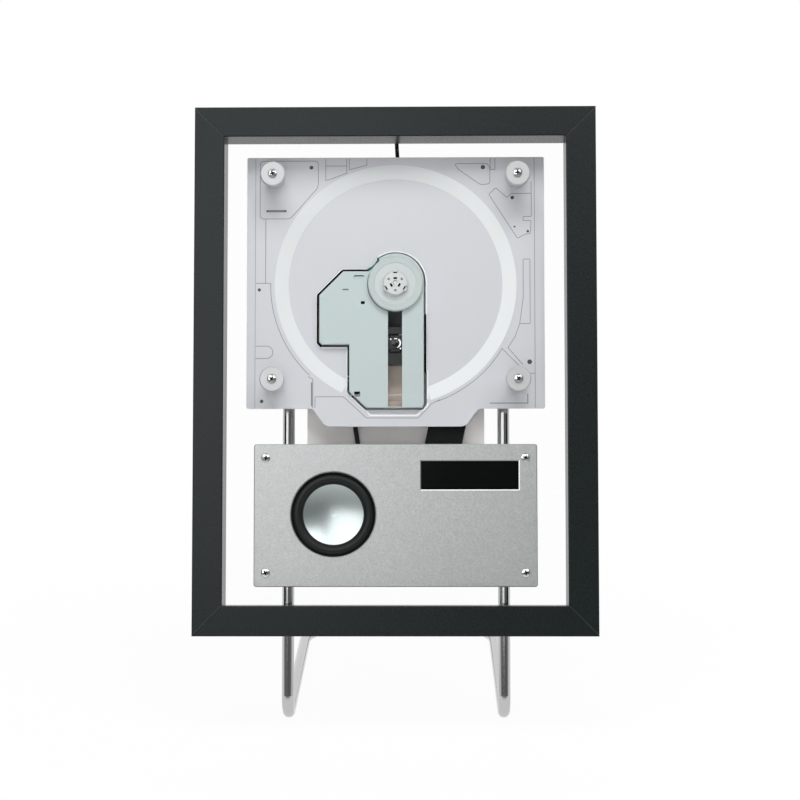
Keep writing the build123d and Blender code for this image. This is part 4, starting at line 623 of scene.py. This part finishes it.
def window_painted_highlight(shape):
    """A chamfered strip round the plate's window, painted near-white as its highlight."""
    width, wall, raised, foot = 0.85, 0.25, 0.06, 0.02
    inner = divided(window_outline(), 3.0)
    rows = []
    for (ix, iz), (ox, oz) in zip(inner, offset_points(inner, -width)):
        depth = plate_depth(ix, iz)
        profile = ((ix, depth + wall, iz), (ix, depth, iz), (ox, depth - raised, oz), (ox, depth + foot, oz))
        rows.append([shape.verts.new(corner) for corner in profile])
    bridge(shape, rows, closed=False)


# ------------------------------------------------------------------------ frame and screws
def screw_places():
    """Where the front screws stand, the depth of each rim and the turn of each cross."""
    caps = [(x, z, CAP_SCREW) for x in (-CAP_X, CAP_X) for z in CAP_HEIGHTS]
    panel = [(x, z, PANEL_SCREW) for x in (-PANEL_SCREW_X, PANEL_SCREW_X) for z in PANEL_SCREW_HEIGHTS]
    return [(*place, math.radians(20.0 + 37.0 * index)) for index, place in enumerate(caps + panel)]


def screw_faces(shape):
    """Domed, cross-recessed faces of the front screws."""
    sectors, steps, radius, dome, skirt = 56, 14, 2.35, 0.55, 0.35
    reach, half_width, flank, cut = 1.45, 0.42, 0.2, 1.0  # of the cross recess
    for x, z, rim, turn in screw_places():
        rows = []
        for step in range(1, steps + 1):
            out = radius * step / steps
            row = []
            for sector in range(sectors):
                angle = 2 * math.pi * sector / sectors
                u, v = abs(out * math.cos(angle - turn)), abs(out * math.sin(angle - turn))
                along, across = max(u, v), min(u, v)
                depth = 0.0
                if along < reach and across < half_width:
                    depth = cut * (1 - along / reach) ** 0.5 * min(1.0, (half_width - across) / flank)
                y = rim - dome * (1 - (out / radius) ** 2) + depth
                row.append(shape.verts.new((x + out * math.cos(angle), y, z + out * math.sin(angle))))
            rows.append(row)
        centre = shape.verts.new((x, rim - dome + cut, z))
        rows.append([shape.verts.new((v.co.x, rim + skirt, v.co.z)) for v in rows[-1]])
        for sector in range(sectors):
            following = (sector + 1) % sectors
            shape.faces.new((centre, rows[0][sector], rows[0][following]))
            for inner, outer in zip(rows, rows[1:]):
                shape.faces.new((inner[sector], outer[sector], outer[following], inner[following]))


def screw_recess_painted_shade(shape):
    """Painted shade on the floors of the front screws' cross recesses, one arm just behind the other."""
    reach, width, raised, step = 1.15, 0.62, 0.2, 0.01
    for x, z, rim, turn in screw_places():
        for quarter in (0.0, math.pi / 2):
            dx, dz = reach * math.cos(turn + quarter), reach * math.sin(turn + quarter)
            add_line(shape, [(x - dx, z - dz), (x + dx, z + dz)], width, rim - raised + step * quarter)


def mitre_line(shape, offset, width):
    """A line across the face of the frame where two rails meet, at each corner."""
    margin, thickness = 0.4, 0.025
    for sx in (-1, 1):
        for sz in (-1, 1):
            outer = (sx * (HALF_WIDTH - margin), sz * (HALF_HEIGHT - margin))
            inner = (sx * (HALF_WIDTH - RAIL_WIDTH), sz * (HALF_HEIGHT - RAIL_WIDTH))
            add_line(shape, offset_points([outer, inner], sx * sz * offset), width, 0.0, thickness)


def mitre_joints(shape):
    """The dark joints of the frame's rails."""
    mitre_line(shape, 0.0, 0.28)


def mitre_painted_highlights(shape):
    """A painted highlight beside each joint: a lighter strip standing in for the light on its edge."""
    mitre_line(shape, 0.3, 0.3)


# ------------------------------------------------------------------------ the mechanism
def slot_bosses(shape):
    """The moulded bosses that show in the two slots of the mechanism plate, and a pin below."""
    add_block(shape, x=(-23.85, -18.25), y=(14.45, 15.2), z=(54.0, 54.95))
    add_block(shape, x=(-30.15, -27.05), y=(14.45, 15.2), z=(46.8, 47.35))
    add_disc(shape, -21.2, -12.9, radius=0.6, front=18.5)


def hole_shades(shape):
    """Painted shade: a dark sheet behind the plate's square hole."""
    add_block(shape, x=(-21.0, -17.0), y=(14.86, 14.98), z=(38.6, 42.4))


def slot_painted_shade(shape):
    """Painted shade: a grey sheet under the upper end of the slot, dark as its shadow."""
    add_block(shape, x=(-4.4, 4.4), y=(24.5, 24.7), z=(4.4, 39.0))


def painted_shade_sheet(shape):
    """Painted shade: a brown sheet behind the lower part of the slot, in the colour of the housing in shadow.
    """
    add_block(shape, x=(-5.0, 5.0), y=(24.55, 24.75), z=(-21.0, 4.5))


def painted_shade_foot(shape):
    """Painted shade: the sheet's foot, over the base at the slot's end."""
    add_block(shape, x=(-4.4, 4.4), y=(18.42, 18.56), z=(-20.8, -16.75))


def lens_painted_glints(shape):
    """Painted glints: bright strips and dots round the lens, and a line across its face."""
    x, z, radius, thickness = 0.3, 16.6, 2.5, 0.12
    for start, end, width in ((-75, 55, 0.8), (75, 115, 0.5), (160, 200, 0.6), (225, 262, 0.45)):
        add_line(shape, arc(x, z, radius, start, end, 10), width, LENS, thickness)
    for end_x, end_z in ((-2.7, 18.8), (2.9, 13.4)):
        add_disc(shape, end_x, end_z, 0.42, LENS, thickness, sides=12)
    # A painted glint across the lens's face.
    add_line(shape, [(-0.9, 15.4), (-0.6, 17.6)], 0.5, LENS - 0.05, thickness)


def sled_fittings(shape):
    """Grey brackets on the sled."""
    thickness = 0.1
    add_line(shape, [(-2.6, 21.4), (-2.6, 23.0), (-0.4, 23.2)], 0.7, SLED, thickness)
    add_line(shape, [(-3.0, 9.4), (-1.6, 10.9), (2.2, 9.8), (3.2, 10.6)], 0.7, SLED, thickness)
    add_line(shape, [(-3.1, 8.0), (3.1, 8.2)], 0.8, SLED, thickness)


def sled_painted_glint(shape):
    """A tab beside the lens, painted near-white as a glint."""
    add_plate(shape, [(1.4, 21.4), (3.7, 21.4), (3.7, 24.4), (2.9, 23.2)], front=18.3, back=18.6)


def hub_slot_painted_shade(shape):
    """Painted shade: dark marks in the small slots of the hub's face and on the floors of the claws' slots.
    """
    for angle in (90.0, 210.0, 330.0):
        a = math.radians(angle)
        for near, far, width, front in ((2.05, 3.2, 2.1, HUB), (5.4, 6.4, 2.0, CLAW_SLOT)):
            points = [(out * math.cos(a), SPINDLE + out * math.sin(a)) for out in (near, far)]
            add_line(shape, points, width, front, 0.03)


def hub_dimple_painted_shade(shape):
    """Painted shade: dark part-arcs on one side of the round dimples in the hub's face and of the ring about
    its centre.
    """
    out, radius, thickness = 4.4, 0.55, 0.03
    for angle in (30.0, 150.0, 270.0):
        a = math.radians(angle)
        x, z = out * math.cos(a), SPINDLE + out * math.sin(a)
        add_line(shape, arc(x, z, radius, angle + 40.0, angle + 300.0, 14), 0.3, HUB, thickness)
    add_line(shape, arc(0.0, SPINDLE, 1.25, 20.0, 250.0, 20), 0.25, HUB, thickness)


def turntable_rings(shape):
    """The faint turned step in the turntable's face."""
    add_line(shape, arc(0.0, SPINDLE, 12.7, 0.0, 360.0, 90), 0.25, TURNTABLE, 0.02)


def turntable_painted_shadow(shape):
    """Painted shadow of the turntable on the mechanism's plate, round its lower left."""
    add_line(shape, arc(0.0, SPINDLE, 16.0, 158.0, 285.0, 60), 0.5, MECHANISM, 0.02)


def edge_gap_painted_shade(shape):
    """Painted shade: a black strip in the gap beside the mechanism's right edge."""
    add_block(shape, x=(16.45, 17.65), y=(15.45, 15.75), z=(-0.2, 33.2))


def board_edge(shape):
    """The green edge of the motor board in the notch of the window."""
    points = [(-16.1, 58.9), (-13.5, 60.3), (-11.4, 62.1), (-10.2, 64.1), (-10.0, 66.0)]
    add_line(shape, points, width=1.1, front=15.75, thickness=0.25)


def foot_ledge(shape):
    """The plate's return under the foot of the mechanism."""
    add_block(shape, x=(-15.9, 13.9), y=(16.7, 17.1), z=(-24.8, -21.6))


def painted_reflection_line(shape):
    """A painted reflection: a faint light line across the foot of the mechanism's plate."""
    add_line(shape, [(-26.3, -13.4), (15.9, -13.4)], 0.3, MECHANISM, 0.02)


# ------------------------------------------------------------------------ the lower panel
def display_bevel(shape):
    """The bright bevelled edge of the display's opening."""
    left, right, foot, head = 14.5, 70.2, -67.5, -51.1
    width, face = 0.45, 13.79
    inner = [(left, foot), (right, foot), (right, head), (left, head)]
    outer = [
        (left - width, foot - width),
        (right + width, foot - width),
        (right + width, head + width),
        (left - width, head + width),
    ]
    profile = ((inner, face + 0.03), (inner, face), (outer, face - 0.13), (outer, face))
    bridge(shape, [[shape.verts.new((x, y, z)) for x, z in loop] for loop, y in profile])


piece("plate_line_work", plate_lines, "engraved", "player")
piece("plate_window_lip_painted_shade", window_lip_painted_shade, "shadow_black", "player")
piece("plate_window_painted_highlight", window_painted_highlight, "painted_highlight_white", "player")
piece("screw_faces", screw_faces, "screw_chrome", "player")
piece("screw_recess_painted_shade", screw_recess_painted_shade, "shadow_black", "player")
piece("frame_mitre_joints", mitre_joints, "mitre_dark", "player")
piece("frame_mitre_painted_highlights", mitre_painted_highlights, "mitre_painted_highlight", "player")
piece("mechanism_bosses", slot_bosses, "mechanism_silver", "player")
piece("mechanism_hole_shades", hole_shades, "shadow_black", "player")
piece("slot_painted_shade", slot_painted_shade, "slot_painted_shade_grey", "player")
piece("slot_painted_shade_foot", painted_shade_foot, "painted_shade_foot", "player")
piece("slot_painted_shade_sheet", painted_shade_sheet, "painted_shade_brown", "player")
piece("lens_painted_glint_strips", lens_painted_glints, "screw_chrome", "lens")
piece("sled_brackets", sled_fittings, "sled_grey", "sled")
piece("sled_painted_glint_tab", sled_painted_glint, "painted_highlight_white", "sled")
piece("hub_slots_painted_shade", hub_slot_painted_shade, "shadow_black", "spindle")
piece("hub_dimples_painted_shade", hub_dimple_painted_shade, "hole_painted_shade", "spindle")
piece("turntable_step_rings", turntable_rings, "mat_grey", "spindle")
piece("mechanism_painted_shadow_arc", turntable_painted_shadow, "painted_shadow_grey", "player")
piece("mechanism_painted_reflection", painted_reflection_line, "hub_white", "player")
piece("mechanism_edge_painted_shade", edge_gap_painted_shade, "shadow_black", "player")
piece("motor_board_edge", board_edge, "board_teal", "player")
piece("plate_foot_ledge", foot_ledge, "printed_plate", "player")
piece("display_opening_bevel", display_bevel, "polished_edge", "player")
piece("plate_holes_painted_shade", plate_painted_hole_shades, "hole_painted_shade", "player")
piece("plate_ring_band", ring_band, "ring_white", "player", smooth=True)


# ------------------------------------------------------------------------ light and floor
def background(nodes, color, strength):
    """A plain background shader."""
    node = nodes.new("ShaderNodeBackground")
    node.inputs["Color"].default_value = (*color, 1.0)
    node.inputs["Strength"].default_value = strength
    return node


def world_light():
    """White behind for the camera, a dim room in front for reflections, and a soft even light."""
    world = bpy.data.worlds.new("studio")
    bpy.context.scene.world = world
    world.use_nodes = True
    nodes = world.node_tree.nodes
    links = world.node_tree.links
    nodes.clear()
    output = nodes.new("ShaderNodeOutputWorld")
    white = background(nodes, (1.0, 1.0, 1.0), 1.0)
    soft = background(nodes, (0.97, 0.985, 1.0), 0.14)
    mirrored = background(nodes, (1.0, 1.0, 1.0), 1.0)
    split = nodes.new("ShaderNodeSeparateXYZ")
    links.new(nodes.new("ShaderNodeTexCoord").outputs["Generated"], split.inputs["Vector"])
    depth = map_range(nodes, links, split.outputs["Y"], (-1.0, 1.0), (0.0, 1.0))
    ahead, near, side, behind = (0.14, 0.14, 0.14), (0.18, 0.18, 0.19), (0.5, 0.5, 0.51), (1.0, 1.0, 1.0)
    room = ramp(nodes, links, depth, [(0.0, ahead), (0.2, near), (0.36, side), (0.5, behind)])
    links.new(room, mirrored.inputs["Color"])
    rays = nodes.new("ShaderNodeLightPath").outputs
    straight = larger(nodes, links, rays["Is Camera Ray"], rays["Is Transmission Ray"])
    glossy = mixed(nodes, links, rays["Is Glossy Ray"], soft.outputs[0], mirrored.outputs[0])
    links.new(mixed(nodes, links, straight, glossy, white.outputs[0]), output.inputs["Surface"])


def area_light(name, across, up, distance, size):
    """A lamp `distance` metres off that faces the plate, at degrees from the plate's normal."""
    a, u = math.radians(across), math.radians(up) + LEAN
    aim = Vector((0.0, 0.0, 0.22))
    away = Vector((math.sin(a) * math.cos(u), -math.cos(a) * math.cos(u), math.sin(u)))
    data = bpy.data.lights.new(name, "AREA")
    data.shape = "RECTANGLE"
    data.size, data.size_y = size
    lamp = bpy.data.objects.new(name, data)
    lamp.location = aim + away * distance
    lamp.rotation_euler = (-away).to_track_quat("-Z", "Y").to_euler()
    bpy.context.scene.collection.objects.link(lamp)
    return lamp


def soft_light(name, across, up, distance, size, share):
    """A lamp that adds `share` of the colour as written to a face along the plate."""
    lamp = area_light(name, across, up, distance, size)
    slant = abs(math.cos(math.radians(across)) * math.cos(math.radians(up)))
    lamp.data.energy = share * (math.pi * distance) ** 2 / slant
    lamp.visible_glossy = False


def mirror_card(name, across, up, distance, size, radiance):
    """A card that only shows in glossy surfaces."""
    lamp = area_light(name, across, up, distance, size)
    lamp.data.energy = radiance * math.pi * size[0] * size[1]
    lamp.visible_diffuse = False


def floor_material():
    """White for the camera and in mirrors, dimmer ahead of the player, and shaded under it."""
    material, nodes, links, shader = new_material("studio_floor")
    shader.inputs["Base Color"].default_value = (0.9, 0.9, 0.9, 1.0)
    shader.inputs["Roughness"].default_value = 0.7
    shader.inputs["Specular IOR Level"].default_value = 0.1
    glow = nodes.new("ShaderNodeEmission")
    place = object_coordinates(nodes)
    rays = nodes.new("ShaderNodeLightPath").outputs

    split = nodes.new("ShaderNodeSeparateXYZ")
    links.new(place, split.inputs["Vector"])
    near, far, near_level = -0.6, -0.12, 0.33
    level = nodes.new("ShaderNodeMix")
    level.inputs[2].default_value = 1.0
    links.new(rays["Is Glossy Ray"], level.inputs[0])
    links.new(map_range(nodes, links, split.outputs["Y"], (near, far), (near_level, 1.0)), level.inputs[3])
    links.new(level.outputs[0], glow.inputs["Strength"])

    length = nodes.new("ShaderNodeVectorMath")
    length.operation = "LENGTH"
    links.new(place, length.inputs[0])
    shaded, clear, shaded_share = 0.15, 0.5, 0.955
    straight = larger(nodes, links, rays["Is Camera Ray"], rays["Is Glossy Ray"])
    share = nodes.new("ShaderNodeMath")
    share.operation = "MULTIPLY"
    links.new(larger(nodes, links, straight, rays["Is Transmission Ray"]), share.inputs[0])
    away = map_range(nodes, links, length.outputs["Value"], (shaded, clear), (shaded_share, 1.0))
    links.new(away, share.inputs[1])
    surface = mixed(nodes, links, share.outputs[0], shader.outputs[0], glow.outputs[0])
    links.new(surface, nodes["Material Output"].inputs["Surface"])
    return material


def floor():
    """The level floor that the player stands on."""
    mesh = bpy.data.meshes.new("floor")
    reach = 6.0
    corners = [(-reach, -reach, 0), (reach, -reach, 0), (reach, reach, 0), (-reach, reach, 0)]
    mesh.from_pydata(corners, [], [(0, 1, 2, 3)])
    thing = bpy.data.objects.new("floor", mesh)
    bpy.context.scene.collection.objects.link(thing)
    mesh.materials.append(floor_material())


def camera():
    """The photograph's camera, fitted to the frame's edges."""
    pitch, yaw, roll = -0.0591, -0.01407, -0.00041
    place = at(16.197, -953.41, -100.42)
    forward = Vector((math.sin(yaw) * math.cos(pitch), math.cos(yaw) * math.cos(pitch), -math.sin(pitch)))
    up = Vector((math.sin(yaw) * math.sin(pitch), math.cos(yaw) * math.sin(pitch), math.cos(pitch)))
    right = Vector((math.cos(yaw), -math.sin(yaw), 0.0))
    right, up = (
        right * math.cos(roll) + up * math.sin(roll),
        up * math.cos(roll) - right * math.sin(roll),
    )
    turn = TILT.to_3x3()
    axes = Matrix((turn @ right, turn @ up, turn @ -forward)).transposed().to_4x4()
    shift_pixels, picture_pixels = 47.0, 800.0
    data = bpy.data.cameras.new("camera")
    data.sensor_width = 36.0
    data.lens = 76.5
    data.shift_y = shift_pixels / picture_pixels
    data.clip_start = 0.01
    thing = bpy.data.objects.new("camera", data)
    thing.matrix_world = Matrix.Translation(place) @ axes
    bpy.context.scene.collection.objects.link(thing)
    bpy.context.scene.camera = thing


world_light()
floor()
soft_light("top_light", across=4.0, up=54.0, distance=1.5, size=(1.2, 0.5), share=0.44)
soft_light("low_light", across=-6.0, up=-14.0, distance=1.6, size=(0.9, 0.4), share=0.09)
soft_light("left_light", across=-38.0, up=6.0, distance=1.6, size=(0.6, 0.6), share=0.04)
soft_light("right_light", across=50.0, up=22.0, distance=1.6, size=(0.6, 0.6), share=0.11)
soft_light("back_light", across=180.0, up=8.0, distance=1.6, size=(0.9, 0.9), share=0.5)
mirror_card("left_card", across=-24.0, up=17.0, distance=1.6, size=(1.35, 1.5), radiance=1.5)
mirror_card("right_card", across=29.0, up=27.0, distance=1.6, size=(0.8, 0.8), radiance=1.8)
camera()
bpy.context.scene.view_settings.view_transform = "Standard"
